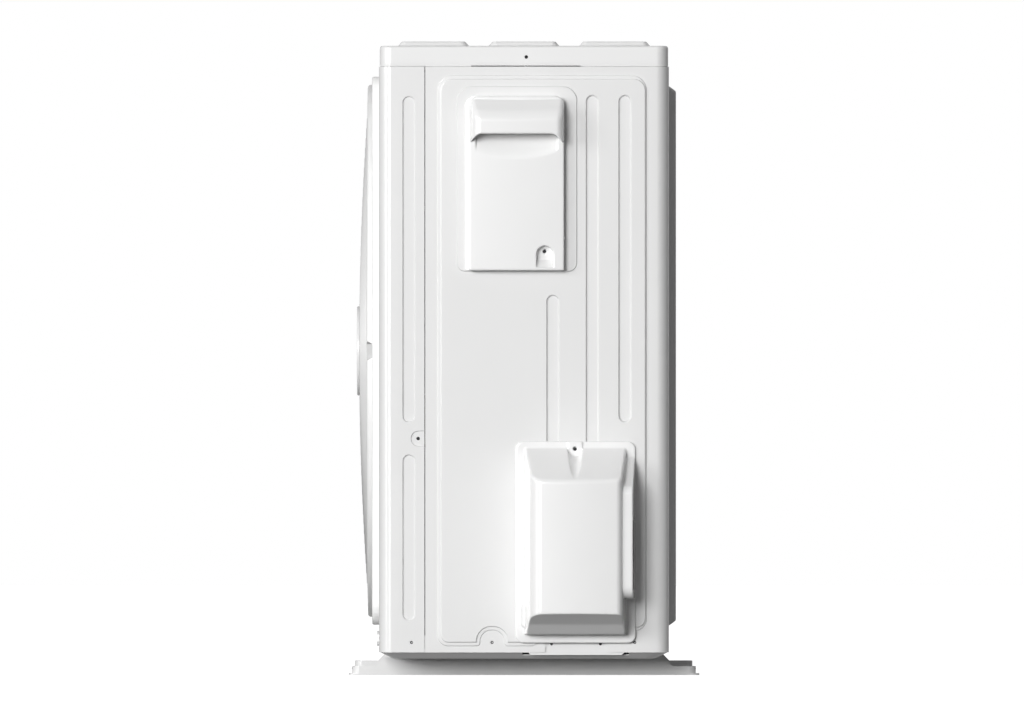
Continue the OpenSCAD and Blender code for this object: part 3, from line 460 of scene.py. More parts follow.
def rim_indices(flat, rim):
    """Indices in a flat mesh of the points of its rim."""
    lookup = {(round(a, 3), round(b, 3)): i for i, (a, b, _) in enumerate(flat)}
    return [lookup[(round(q[0], 3), round(q[1], 3))] for q in rim]


def inside(points, loop):
    """Which of the points lie inside a closed outline."""
    x, y = points[:, 0], points[:, 1]
    result = np.zeros(len(points), dtype=bool)
    for (x0, y0), (x1, y1) in zip(loop, loop[1:] + loop[:1]):
        crosses = (y0 > y) != (y1 > y)
        if y1 != y0:
            result ^= crosses & (x < (x1 - x0) * (y - y0) / (y1 - y0) + x0)
    return result


def inset_of(points, loop):
    """Distance of the points from a closed outline, positive inside it."""
    a = np.array(loop, dtype=float)
    d = np.roll(a, -1, axis=0) - a
    size = np.maximum((d * d).sum(axis=1), 1e-12)
    w = points[:, None, :] - a[None]
    t = np.clip((w * d).sum(axis=2) / size, 0, 1)
    far = np.linalg.norm(w - t[:, :, None] * d, axis=2).min(axis=1)
    return np.where(inside(points, [tuple(q) for q in loop]), far, -far)


def pressed_height(points, relief):
    """Height of a pressed sheet at each of the points (u, v)."""
    total = np.zeros(len(points))
    for outline, radii, rows in relief:
        loop = filleted(outline, radii)
        low, high = np.min(loop, axis=0) - 1, np.max(loop, axis=0) + 1
        near = ((points > low) & (points < high)).all(axis=1)
        if near.any():
            insets, heights = zip(*rows)
            total[near] += np.interp(inset_of(points[near], loop), insets, heights)
    return total


def embossed(border, relief, holes=(), bends=()):
    """Flat mesh of a pressed sheet: (points as u, v, height; triangles).

    border is the outer outline, relief a list of (corner points, radii, rows of inset and
    height), holes outlines that are cut out, and bends pairs of points joined by a line, where
    the sheet is going to be bent.
    """
    coords, edges = [], []

    def add_loop(loop):
        first = len(coords)
        coords.extend(Vector((q[0], q[1])) for q in loop)
        edges.extend((first + k, first + (k + 1) % len(loop)) for k in range(len(loop)))

    add_loop(border)
    for outline, radii, rows in relief:
        for inset, _ in rows:
            add_loop(filleted(outline, radii, inset))
    for loop in holes:
        add_loop(loop)
    for a, b in bends:
        edges.append((len(coords), len(coords) + 1))
        coords.extend([Vector(a), Vector(b)])
    verts, _, faces, _, _, _ = delaunay_2d_cdt(coords, edges, [], 0, 1e-5)
    v = np.array([(q.x, q.y) for q in verts])
    f = np.array([list(q) for q in faces])
    centres = v[f].mean(axis=1)
    keep = inside(centres, [tuple(q) for q in border])
    for loop in holes:
        keep &= ~inside(centres, [tuple(q) for q in loop])
    return np.column_stack([v, pressed_height(v, relief)]), f[keep]


class BentPath:
    """Plan outline of a sheet: straight runs joined by round corners, by arc length."""

    def __init__(self, points, radius):
        self.runs = []
        self.length = 0.0
        pts = [np.array(p, dtype=float) for p in points]
        for i in range(len(pts) - 1):
            d = (pts[i + 1] - pts[i]) / np.linalg.norm(pts[i + 1] - pts[i])
            a = pts[i] + d * (radius if i > 0 else 0)
            b = pts[i + 1] - d * (radius if i < len(pts) - 2 else 0)
            self.add(("line", a, d), np.linalg.norm(b - a))
            if i < len(pts) - 2:
                e = (pts[i + 2] - pts[i + 1]) / np.linalg.norm(pts[i + 2] - pts[i + 1])
                self.add(("arc", b + e * radius, d, e, radius), radius * math.pi / 2)

    def add(self, run, length):
        """Puts a run at the end of the path."""
        self.runs.append((self.length, self.length + length, run))
        self.length += length

    def bends(self, steps=8):
        """Arc lengths at which the corners need a line of vertices."""
        return [a + (b - a) * k / steps for a, b, run in self.runs if run[0] == "arc"
                for k in range(steps + 1)]

    def place(self, u, v, h):
        """Turns (u along the path, v up, h outwards) into points in the frame."""
        out = np.zeros((len(u), 3))
        slack = 0.001
        for a, b, run in self.runs:
            m = (u >= a - slack) & (u <= b + slack)
            s = u[m] - a
            if run[0] == "line":
                _, start, d = run
                normal = np.array([d[1], -d[0]])
                xy = start + s[:, None] * d + h[m][:, None] * normal
            else:
                _, centre, d, e, radius = run
                t = s / radius
                xy = centre + (radius + h[m])[:, None] * (
                    np.sin(t)[:, None] * d - np.cos(t)[:, None] * e)
            out[m] = np.column_stack([xy, v[m]])
        return out


# ---- Smooth solids from distance fields --------------------------------------------------

def join_round(a, b, r):
    """Union with a fillet of radius r in the inner corner."""
    u, v = np.maximum(r - a, 0), np.maximum(r - b, 0)
    return np.maximum(r, np.minimum(a, b)) - np.sqrt(u * u + v * v)


def cut_round(a, b, r):
    """Intersection with its edge rounded to radius r."""
    u, v = np.maximum(r + a, 0), np.maximum(r + b, 0)
    return np.minimum(-r, np.maximum(a, b)) + np.sqrt(u * u + v * v)


def plane(a, b, pa, pb):
    """Distance from the line through pa and pb, positive on its right-hand side."""
    d = np.array(pb, dtype=float) - np.array(pa, dtype=float)
    d /= np.linalg.norm(d)
    return (a - pa[0]) * d[1] - (b - pa[1]) * d[0]


def round_box(a, b, a0, a1, b0, b1, r):
    """Distance from a rounded rectangle."""
    qa = np.abs(a - (a0 + a1) / 2) - (a1 - a0) / 2 + r
    qb = np.abs(b - (b0 + b1) / 2) - (b1 - b0) / 2 + r
    return np.hypot(np.maximum(qa, 0), np.maximum(qb, 0)) + np.minimum(np.maximum(qa, qb), 0) - r


def surface_net(field, lo, hi, step):
    """Quads of the zero surface of field(x, y, z), which is negative inside the solid."""
    lo, hi = np.array(lo, dtype=float), np.array(hi, dtype=float)
    n = np.ceil((hi - lo) / step).astype(int) + 1
    axes = [lo[i] + step * np.arange(n[i]) for i in range(3)]
    grid = np.meshgrid(*axes, indexing="ij")
    value = field(*grid)
    solid = value < 0
    cells = tuple(n - 1)

    def at(array, o):
        return array[o[0]:o[0] + cells[0], o[1]:o[1] + cells[1], o[2]:o[2] + cells[2]]

    offsets = [(i, j, k) for i in (0, 1) for j in (0, 1) for k in (0, 1)]
    count = sum(at(solid, o).astype(np.int8) for o in offsets)
    mixed = (count > 0) & (count < 8)
    index = np.full(cells, -1)
    index[mixed] = np.arange(mixed.sum())
    where = np.argwhere(mixed)
    total = np.zeros((len(where), 3))
    hits = np.zeros(len(where))
    for o in offsets:
        for axis in range(3):
            if o[axis]:
                continue
            e = tuple(o[i] + (i == axis) for i in range(3))
            va, vb = at(value, o)[mixed], at(value, e)[mixed]
            cross = (va < 0) != (vb < 0)
            t = np.where(cross, va / np.where(cross, va - vb, 1), 0)
            p = where + np.array(o) + t[:, None] * (np.arange(3) == axis)
            total[cross] += p[cross]
            hits[cross] += 1
    verts = lo + step * total / hits[:, None]
    faces = []
    for axis in range(3):
        u, v = (axis + 1) % 3, (axis + 2) % 3
        a = np.take(solid, range(0, n[axis] - 1), axis=axis)
        b = np.take(solid, range(1, n[axis]), axis=axis)
        flip = np.argwhere(a != b)
        ok = (flip[:, u] > 0) & (flip[:, v] > 0) & (flip[:, u] < cells[u]) & (flip[:, v] < cells[v])
        flip = flip[ok]
        out = a[tuple(flip.T)]
        ring = []
        for du, dv in ((1, 1), (0, 1), (0, 0), (1, 0)):
            c = flip.copy()
            c[:, u] -= du
            c[:, v] -= dv
            ring.append(index[tuple(c.T)])
        ring = np.array(ring).T
        ring[~out] = ring[~out][:, ::-1]
        faces.append(ring)
    return verts, np.concatenate(faces)


def settle(field, verts, rounds=3, d=0.05):
    """Moves points on to the zero surface and returns them with the surface's normals."""
    def slope(p):
        x, y, z = p.T
        g = np.column_stack([field(x + d, y, z) - field(x - d, y, z),
                             field(x, y + d, z) - field(x, y - d, z),
                             field(x, y, z + d) - field(x, y, z - d)])
        return g / (2 * d)

    for _ in range(rounds):
        g = slope(verts)
        size = np.maximum((g * g).sum(axis=1), 0.2)
        move = -(field(*verts.T) / size)[:, None] * g
        far = np.linalg.norm(move, axis=1)
        move *= np.minimum(1, 0.7 / np.maximum(far, 1e-9))[:, None]
        verts = verts + move
    g = slope(verts)
    return verts, g / np.maximum(np.linalg.norm(g, axis=1), 1e-9)[:, None]


def moulding(name, field, node, step, keep):
    """A moulded piece from its distance field, thinned to the share keep of its faces."""
    margin = 2.5
    low, high = corners(node)
    verts, faces = surface_net(field, low - margin, high + margin, step)
    verts, normals = settle(field, verts)
    ob = piece(name, verts, faces, node, sharp=None)
    if keep < 1:
        mod = ob.modifiers.new("thin", "DECIMATE")
        mod.ratio = keep
        weighted_normals(ob)
    else:
        ob.data.normals_split_custom_set_from_vertices(normals.tolist())
    return ob


# ---- Side panel --------------------------------------------------------------------------

SIDE_GROOVE_W = 17.0
SIDE_GROOVE_D = 2.5
# Grooves as (y, lower z, upper z)
SIDE_GROOVES = [(87.2, 275, 741.5), (128.8, 323.4, 741.5), (36.9, 275, 486.6)]
PAD_BOX = (-86.3, 68.0, 515.6, 752.4)     # lowest and highest y, lowest and highest z
WIRING_OPENING = (-55, 35, 545, 680)      # the same
VALVE_OPENING = (27.4, 106, 262)          # lowest and highest y, highest z


def field_border():
    """Corner points of the raised field of the side panel, anticlockwise, and their radii."""
    left, right, low, high = -110.7, 156.9, 37.8, 766.8
    # A notch round the lower screw, and a shelf above the valve plate
    notch0, notch1 = -55.5, -25.7
    step_y, shelf = 16.0, 57.0
    points = [(left, low), (notch0, low), (notch0, shelf + 1), (notch1, shelf + 1), (notch1, low),
              (step_y, low), (step_y, shelf), (right, shelf), (right, high), (left, high)]
    radii = [14, 5, 13.5, 13.5, 5, 6, 6, 16, 20, 20]
    return points, radii


def side_panel():
    """Panel with a raised field, a pad for the wiring cover and three long grooves."""
    u0 = SEAM_Y + 1
    path = BentPath([(SIDE_X, u0), (SIDE_X, REAR_Y), (SIDE_LO[0], REAR_Y)], CORNER_R)

    def moved(points):
        return [(y - u0, z) for y, z in points]

    points, radii = field_border()
    # The field rises in two small steps. They run together along the rear edge and have a ledge
    # between them elsewhere
    ledge, ledge_h, rear_gap = 4.5, 1.3, 1.4
    low_step = [(0, 0), (0.25, 0.12), (0.9, ledge_h - 0.15), (1.25, ledge_h)]
    high_step = [(0, 0), (0.3, 0.15), (1.2, FIELD_H - ledge_h - 0.15), (1.6, FIELD_H - ledge_h)]
    rear = max(y for y, _ in points)
    inner, inner_radii = moved_inwards(points, radii, ledge)
    inner = [(rear - rear_gap if y > rear - ledge - 0.1 else y, z) for y, z in inner]
    relief = [(moved(points), radii, low_step), (moved(inner), inner_radii, high_step),
              (moved(box_outline(*PAD_BOX)), [11.5, 11.5, 18, 18], soft_step(1.3, PAD_H, 0.6, 3))]
    for y, low, high in SIDE_GROOVES:
        points, r = slot_corners(y - u0, low, high, SIDE_GROOVE_W)
        relief.append((points, r, soft_step(1.9, -SIDE_GROOVE_D, 0.75, 4)))
    # The opening round the service valves runs out through the lower edge
    open0, open1, open_z = VALVE_OPENING
    open0, open1 = open0 - u0, open1 - u0
    bends = path.bends()
    border = [(0, BODY_Z), (open0, BODY_Z), (open0, open_z), (open1, open_z), (open1, BODY_Z)]
    border += [(b, BODY_Z) for b in bends] + [(path.length, BODY_Z), (path.length, SEAM_Z)]
    border += [(b, SEAM_Z) for b in reversed(bends)] + [(0, SEAM_Z)]
    rounding = [0, 3, 6, 6, 3] + [0] * (len(border) - 5)
    holes = [circle_outline(y - u0, z, HOLE_R) for y, z in SIDE_SCREWS]
    holes.append(filleted(moved(box_outline(*WIRING_OPENING)), 8))
    lines = [((b, BODY_Z), (b, SEAM_Z)) for b in bends]
    flat, faces = embossed(filleted(border, rounding), relief, holes, lines)
    ob = piece("side_panel_sheet", path.place(*flat.T), faces, "side_panel")
    solid_sheet(ob)
    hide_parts("side_panel")


# ---- Front panel -------------------------------------------------------------------------

FRONT_GROOVES = [(323.4, 740.0), (70.6, 282.7)]
FRONT_GROOVE_Y = -146.8
FRONT_GROOVE_W = 16.6
FRONT_GROOVE_D = 2.0
FAN_OPENING_R = 300


def front_panel():
    """Front sheet with a return on each side, which has two long grooves and two screws."""
    path = BentPath([(-SIDE_X, SEAM_Y), (-SIDE_X, FACE_Y), (SIDE_X, FACE_Y), (SIDE_X, SEAM_Y)],
                    CORNER_R)
    end = path.length

    def along(y):
        """Arc length of a place y on the right-hand return."""
        return end - (SEAM_Y - y)

    relief, holes = [], []
    for flip in (False, True):
        def put(loop):
            return [(end - q[0], q[1]) for q in reversed(loop)] if flip else loop
        for low, high in FRONT_GROOVES:
            points, r = slot_corners(along(FRONT_GROOVE_Y), low, high, FRONT_GROOVE_W)
            relief.append((put(points), r, soft_step(1.5, -FRONT_GROOVE_D, 0.75, 4)))
        # D-shaped recess of the upper screw, open at the seam
        recess = box_outline(along(-144.4), along(SEAM_Y + 4), 292.6, 313.0)
        relief.append((put(recess), [10, 2, 2, 10], soft_step(0.8, -1.6, 0.6, 2)))
        for y, z in FRONT_SCREWS:
            holes.append(put(circle_outline(along(y), z, HOLE_R)))
    holes.append(circle_outline(path.length / 2 + FAN_X, FAN_Z, FAN_OPENING_R, 128))
    bends = path.bends()
    border = ([(0, BODY_Z)] + [(b, BODY_Z) for b in bends] + [(end, BODY_Z), (end, SEAM_Z)]
              + [(b, SEAM_Z) for b in reversed(bends)] + [(0, SEAM_Z)])
    lines = [((b, BODY_Z), (b, SEAM_Z)) for b in bends]
    flat, faces = embossed(border, relief, holes, lines)
    ob = piece("front_panel_sheet", path.place(*flat.T), faces, "front_panel")
    solid_sheet(ob)
    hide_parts("front_panel")


# ---- Top cover ---------------------------------------------------------------------------

ROOF_RIBS_Y = (-115.5, 0.0, 115.8)


def top_cover():
    """Ribbed lid with a rounded edge and a plain skirt, screwed on at both ends."""
    rib_h, rib_w, rib_l, edge_r = 6.0, 92.5, 860.0, 3.5
    x1, y1 = ROOF_HI[0], ROOF_HI[1]
    roof_z = ROOF_HI[2] - rib_h
    plan = box_outline(-x1, x1, -y1, y1)
    screw_y, screw_z = ROOF_SCREW
    # The skirt's lower edge is raised over the screw's tab
    tab0, tab1, raised_h = -67, 71.5, 0.9
    stops = [tab0 - 1, tab0, screw_y - 5, screw_y + 5, tab1, tab1 + 1]

    def ring_at(inset):
        return ring_with_stops(plan, 15, inset, 10, stops)

    relief = []
    for y in ROOF_RIBS_Y:
        rib = box_outline(-rib_l / 2, rib_l / 2, y - rib_w / 2, y + rib_w / 2)
        relief.append((rib, 12, soft_step(6.6, rib_h, 0.25, 7)))
    rim = ring_at(edge_r)
    flat, faces = embossed(rim, relief)
    verts = [(a, b, roof_z + h) for a, b, h in flat]
    faces = [tuple(f) for f in faces]
    # Rounded edge and skirt, ring by ring below the rim
    ring = rim_indices(flat, rim)
    steps = 6
    levels = [(edge_r * (1 - math.sin(t)), roof_z - edge_r * (1 - math.cos(t)))
              for t in [math.pi / 2 * k / steps for k in range(1, steps + 1)]]
    hole_level = len(levels)
    levels += [(0.0, screw_z - 5), (0.0, ROOF_LO[2] + 1.6), (0.5, ROOF_LO[2])]
    for number, (inset, z) in enumerate(levels):
        first = len(verts)
        for x, y in ring_at(inset):
            raised = number > hole_level and tab0 <= y <= tab1 and abs(x) > x1 - 1
            verts.append((x, y, z + raised_h if raised else z))
        new = list(range(first, len(verts)))
        for k in range(len(ring)):
            n = (k + 1) % len(ring)
            middle_y = (verts[ring[k]][1] + verts[ring[n]][1]) / 2
            face = (ring[n], ring[k], new[k], new[n])
            at_screw = abs(middle_y - screw_y) < 0.1 and abs(verts[ring[k]][0]) > x1 - 5
            if number == hole_level and at_screw:
                faces += hole_in_quad(verts, face, (screw_y, screw_z), HOLE_R)
            else:
                faces.append(face)
        ring = new
    ob = piece("top_cover_sheet", verts, faces, "top_cover", material=roof_powder)
    solid_sheet(ob)
    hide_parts("top_cover")


def hole_in_quad(verts, face, centre, r, count=24):
    """Faces that fill an upright quad in a plane of constant x round a hole at (y, z)."""
    x = verts[face[0]][0]
    angles = [math.atan2(verts[i][2] - centre[1], verts[i][1] - centre[0]) for i in face]
    turn = 1 if (angles[1] - angles[0]) % (2 * math.pi) < math.pi else -1
    first = len(verts)
    start = angles[0] - turn * math.pi / 4
    for k in range(count):
        t = start + turn * 2 * math.pi * k / count
        verts.append((x, centre[0] + r * math.cos(t), centre[1] + r * math.sin(t)))
    faces = []
    share = count // 4
    for i in range(4):
        arc = [first + (i * share + k) % count for k in range(share + 1)]
        for a, b in zip(arc, arc[1:]):
            faces.append((face[i], b, a))
        faces.append((face[i], face[(i + 1) % 4], arc[-1]))
    return faces


# ---- Valve cover -------------------------------------------------------------------------

VALVE_FLANGE_X = VALVE_LO[0] + 2.5
CHANNEL_X = VALVE_FLANGE_X + 57   # outer side of the channel for the pipes


def valve_hood(x, y, z):
    """Hood with a slightly bowed front, a sloping top and an underside bent inwards."""
    flange_x, front_x, low_z = VALVE_FLANGE_X, VALVE_HI[0], 53.2
    bow, bow_middle, bow_half = 2.2, 66, 58.0
    out_x = front_x - bow * np.minimum(((y - bow_middle) / bow_half) ** 2, 1.6)
    top = plane(x, z, (front_x, 249.6), (flange_x, 290.5))
    right = plane(y, x, (130.6, flange_x), (124.6, front_x))
    # The front edge of the near side is a quarter round that meets the front in a crease
    turn_y, turn_x, turn_r, meet_x = 24.4, 525.95, 17.0, 528.3
    left = plane(y, x, (7.56, meet_x), (0.65, flange_x))
    quarter = np.where((y < turn_y) & (x > meet_x), np.hypot(y - turn_y, x - turn_x) - turn_r, -20)
    # The two facets of the underside are joined instead of cut
    bend = (514.0, 66.7)
    under = join_round(plane(x, z, bend, (front_x, 80.0)),
                       plane(x, z, (496.0, low_z), bend), 0.8)
    hood = np.maximum(cut_round(x - out_x, left, 0.5), quarter)
    for side, r in ((right, 7.0), (top, 3.5), (under, 1.0), (low_z - z, 1.0)):
        hood = cut_round(hood, side, r)
    return hood


def valve_channel(x, y, z):
    """Channel along the rear edge, in which the pipes leave."""
    shape = cut_round(x - CHANNEL_X,
                      plane(x, z, (CHANNEL_X, 239.0), (VALVE_FLANGE_X, 279.4)), 6.0)
    shape = cut_round(shape, 99.4 - z, 15.0)
    shape = cut_round(shape, plane(y, x, (141.6, VALVE_FLANGE_X), (138.7, CHANNEL_X)), 1.2)
    return np.maximum(shape, 110 - y)


def valve_field(x, y, z):
    """Valve cover: a flange with hood, channel, clip and the boss of its screw."""
    wall, flange_x, back_x, top_z = 2.2, VALVE_FLANGE_X, VALVE_LO[0], 299.3
    screw_y, screw_z, way_r = 65.1, 290.4, 9.8
    boss_x = flange_x + 1.3
    shape = join_round(valve_hood(x, y, z), valve_channel(x, y, z), 0.8)
    flange = cut_round(round_box(y, z, -11, 142.4, 42, top_z, 10), x - flange_x, 0.9)
    ridge_x = flange_x + 7.5 - 0.14 * (y - 2.0) ** 2
    clip = cut_round(round_box(y, z, -3.5, 14, 62, 91.5, 5.0), x - ridge_x, 1.2)
    boss = cut_round(round_box(y, z, 55.3, 74.9, 280.6, 320, 9.75), x - boss_x, 0.5)
    solid = join_round(np.minimum(shape, clip), flange, 1.2)
    solid = np.maximum(solid, -(shape + wall))
    # Way for a screwdriver: straight over the boss, then a slanted groove in the slope
    from_screw = np.hypot(y - screw_y, z - screw_z)
    over_boss = np.maximum(from_screw - way_r, boss_x - x)
    axis_z = screw_z - (x - flange_x - 1.5) * 0.472
    groove = np.maximum(np.hypot(y - screw_y, (z - axis_z) * 0.904) - 9.0, boss_x - x)
    room = np.minimum(over_boss, groove)
    wall_round = np.maximum(np.minimum(room, from_screw - way_r) - 1.8,
                            np.maximum(shape, back_x + 0.6 - x))
    solid = np.minimum(solid, np.maximum(wall_round, back_x - x))
    solid = cut_round(solid, -room, 0.6)
    solid = np.minimum(solid, np.maximum(boss, z - top_z))
    hole = np.hypot(y - screw_y, z - 290.0) - 2.6
    # Pipes leave through the rear wall
    outlet = np.maximum(round_box(x, z, flange_x + 6, CHANNEL_X - 8, 110, 200, 8), 132 - y)
    solid = np.maximum(np.maximum(solid, -hole), -outlet)
    return np.maximum(np.maximum(solid, back_x - x), z - top_z)


def valve_cover():
    """Cover over the service valves and their pipes."""
    ob = moulding("valve_cover_shell", valve_field, "valve_cover", 1.25, 0.4)
    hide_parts("valve_cover")


# ---- Wiring cover ------------------------------------------------------------------------

WIRING_MIDDLE_Y = -9.6


def bowed(front_x, y):
    """Place in x of a front that is bowed by 1.1 mm towards its upright edges."""
    return front_x - 1.1 * ((y - WIRING_MIDDLE_Y) / 60.0) ** 2


def wiring_hood(x, y, z):
    """Hood over the finger grip, without the cut of its lower edge."""
    front = PAD_X + 33.5
    hood = cut_round(x - bowed(front, y), plane(y, x, (-64.6, front), (-70.4, PAD_X)), 9.5)
    sides = ((plane(y, x, (52.4, PAD_X), (49.8, front)), 9.0),
             (plane(x, z, (front, 716.0), (PAD_X + 10, 738.9)), 6.5),
             (z - 739.0, 3.0), (round_box(y, z, -70.4, 52.4, 500, 739.0, 12), 1.5))
    for side, r in sides:
        hood = cut_round(hood, side, r)
    return hood


def wiring_field(x, y, z):
    """Wiring cover: a thin edge, a flat with a screw pocket, and a hood over a finger grip."""
    wall, hood_wall = 2.2, 2.4
    from_middle = y - WIRING_MIDDLE_Y
    flat_x = bowed(PAD_X + 14, y)
    edge = cut_round(round_box(y, z, -75.3, 51.4, 517.2, 760, 2.0), x - (PAD_X + 1.6), 0.7)
    edge = cut_round(edge, round_box(y, z, -75.3, 51.4, 480, 741.0, 15.0), 0.6)
    plan = round_box(y, z, -70.4, 52.4, 500, 739.0, 12)
    base = cut_round(round_box(y, z, -70.4, 51.2, 517.4, 760, 1.5), x - flat_x, 1.8)
    hood = wiring_hood(x, y, z)
    # Lower edge of the hood: an arch over the grip with short legs beside it
    lip = 691.6 - 10.5 * np.clip((np.abs(from_middle) - 44) / 14.0, 0, 1) ** 2 - z
    whole = np.minimum(cut_round(hood, lip, 1.6), cut_round(base, plan, 1.5))
    # Scoop in the flat that leads the fingers up behind the hood
    arc = 657.8 + 10.5 * (from_middle / 52.0) ** 2
    rise = np.maximum(z - arc, 0) / 34.0
    floor_x = np.maximum(flat_x - 10.5 * np.minimum(rise, 1) ** 1.6, PAD_X + 3.2)
    scoop = np.maximum(np.maximum(floor_x - x, hood + hood_wall),
                       np.maximum(round_box(y, z, -61.3, 42.4, 640, 714, 5), arc - z))
    solid = np.maximum(whole, -scoop)
    # Hollow behind the flat, and the pocket that the screw sits in
    inner = round_box(y, z, -68.2, 49.0, 519.6, 736, 4)
    hollow = np.maximum(np.maximum(inner, x - flat_x + wall), z - 648)
    pocket_plan = np.minimum(round_box(y, z, 15.7, 37.3, 521.2, 549.0, 10.4),
                             round_box(y, z, 15.7, 37.3, 521.2, 538, 2.5))
    pocket_floor = PAD_X + 3.2 + np.clip((531 - z) * 0.9, 0, 9)
    pocket = np.maximum(pocket_plan + 0.05 * np.maximum(flat_x - x, 0), pocket_floor - x)
    shroud = np.maximum(pocket_plan - 1.7, x - flat_x + 1.5)
    solid = np.maximum(solid, -np.maximum(hollow, -shroud))
    solid = cut_round(solid, -pocket, 0.7)
    solid = np.minimum(solid, np.maximum(edge, -inner))
    nub = np.sqrt((x - PAD_X - 9) ** 2 + (y - 51.6) ** 2 + (z - 558.5) ** 2) - 1.3
    hole = np.hypot(y - 26, z - 541.7) - 2.5
    solid = np.maximum(np.minimum(solid, nub), -hole)
    return np.maximum(solid, PAD_X - x)


def wiring_cover():
    """Cover over the terminal block."""
    ob = moulding("wiring_cover_shell", wiring_field, "wiring_cover", 1.0, 0.45)
    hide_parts("wiring_cover")


# ---- Left grille -------------------------------------------------------------------------

def left_grille():
    """Louvred sheet in front of the coil's left leg."""
    rows, columns, slot_w, slot_h, pitch_y, pitch_z = 22, 3, 78, 19, 88, 32
    low, high = LEFT_LO, LEFT_HI
    path = BentPath([(low[0], high[1]), (low[0], low[1])], 0)
    middle_u, middle_z = path.length / 2, (low[2] + high[2]) / 2
    relief, holes = [], []
    for i in range(rows):
        for j in range(columns):
            u = middle_u + (j - (columns - 1) / 2) * pitch_y
            z = middle_z + (i - (rows - 1) / 2) * pitch_z
            box = box_outline(u - slot_w / 2, u + slot_w / 2, z - slot_h / 2, z + slot_h / 2)
            grown = box_outline(box[0][0] - 2.6, box[2][0] + 2.6, box[0][1] - 2.6, box[2][1] + 2.6)
            relief.append((grown, 8.6, [(0, 0), (1.0, -0.5), (1.8, -1.4), (2.6, -2.6)]))
            holes.append(filleted(box, 6))
    border = box_outline(0, path.length, low[2], high[2])
    flat, faces = embossed(border, relief, holes)
    ob = piece("left_grille_sheet", path.place(*flat.T), faces, "left_grille")
    solid_sheet(ob)
    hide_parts("left_grille")


# ---- Base pan ----------------------------------------------------------------------------

def base_pan():
    """Tray with a pressed floor, a sloping side and an upright rim inside the panels."""
    floor_x, floor_y, rim_x, rim_y = 457.0, 168.5, PAN_HI[0], PAN_HI[1]
    floor_z, body_z, rim_z = PAN_LO[2], BODY_Z, PAN_HI[2]
    plan = box_outline(-floor_x, floor_x, -floor_y, floor_y)
    relief = []
    # Drain channels round the coil and a raised shelf below the compressor
    for x0, x1, y0, y1, h in ((-440, 60, 128, 160, 3), (-455, -425, -110, 100, 3),
                              (250, 440, -120, 140, 4), (-380, 160, -150, 60, 5)):
        box = box_outline(x0, x1, y0, y1)
        relief.append((box, 14, soft_step(8, h, 0.3, 4)))
    # The rim is left out behind the valve plate
    gap0, gap1 = -2.0, 134.0

    def ring_at(outline, inset):
        return ring_with_stops(outline, 16, inset, 8, [gap0, gap1], both_sides=False)

    rim = ring_at(plan, 4.0)
    drain_lo, drain_hi = corners("drain_nozzle")
    drain_x, drain_y = (drain_lo + drain_hi)[:2] / 2
    hole = circle_outline(drain_x, drain_y, 12, 32)
    flat, faces = embossed(rim, relief, [hole])
    verts = [(a, b, floor_z + h) for a, b, h in flat]
    faces = [tuple(reversed(f)) for f in faces]
    ring = rim_indices(flat, rim)
    grow_x, grow_y = rim_x - floor_x, rim_y - floor_y
    # Rings of the wall as (inset, height over the floor, share of the way out to the rim)
    levels = [(2.4, 0.1, 0), (1.0, 0.5, 0.02), (0.2, 1.1, 0.08), (0.0, 4.4, 0.5), (0.0, 7.4, 0.92),
              (0, 8.2, 0.99), (0, 9.0, 1.0), (0, rim_z - floor_z, 1.0)]
    for inset, dz, grow in levels:
        first = len(verts)
        wall = box_outline(-floor_x - grow * grow_x, floor_x + grow * grow_x,
                           -floor_y - grow * grow_y, floor_y + grow * grow_y)
        verts += [(q[0], q[1], floor_z + dz) for q in ring_at(wall, inset)]
        new = list(range(first, len(verts)))
        for k in range(len(ring)):
            n = (k + 1) % len(ring)
            at_gap = verts[new[k]][1] == gap0 and verts[new[n]][1] == gap1
            if not (at_gap and floor_z + dz > body_z - 1.5):
                faces.append((ring[k], ring[n], new[n], new[k]))
        ring = new
    ob = piece("base_pan_tray", verts, faces, "base_pan")
    solid_sheet(ob, 1.4)
    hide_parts("base_pan")


# ---- Front guard and fan -----------------------------------------------------------------

RING_Y = -202.0                   # front of the raised ring
RING_OUT_R = 344.6
RING_IN_R = 318.0
DOME_H = 11.3                     # how far the grille's middle stands out before the ring


def dome_y(r):
    """Front of the domed grille at radius r."""
    return RING_Y - DOME_H * (1 - (r / RING_IN_R) ** 2)


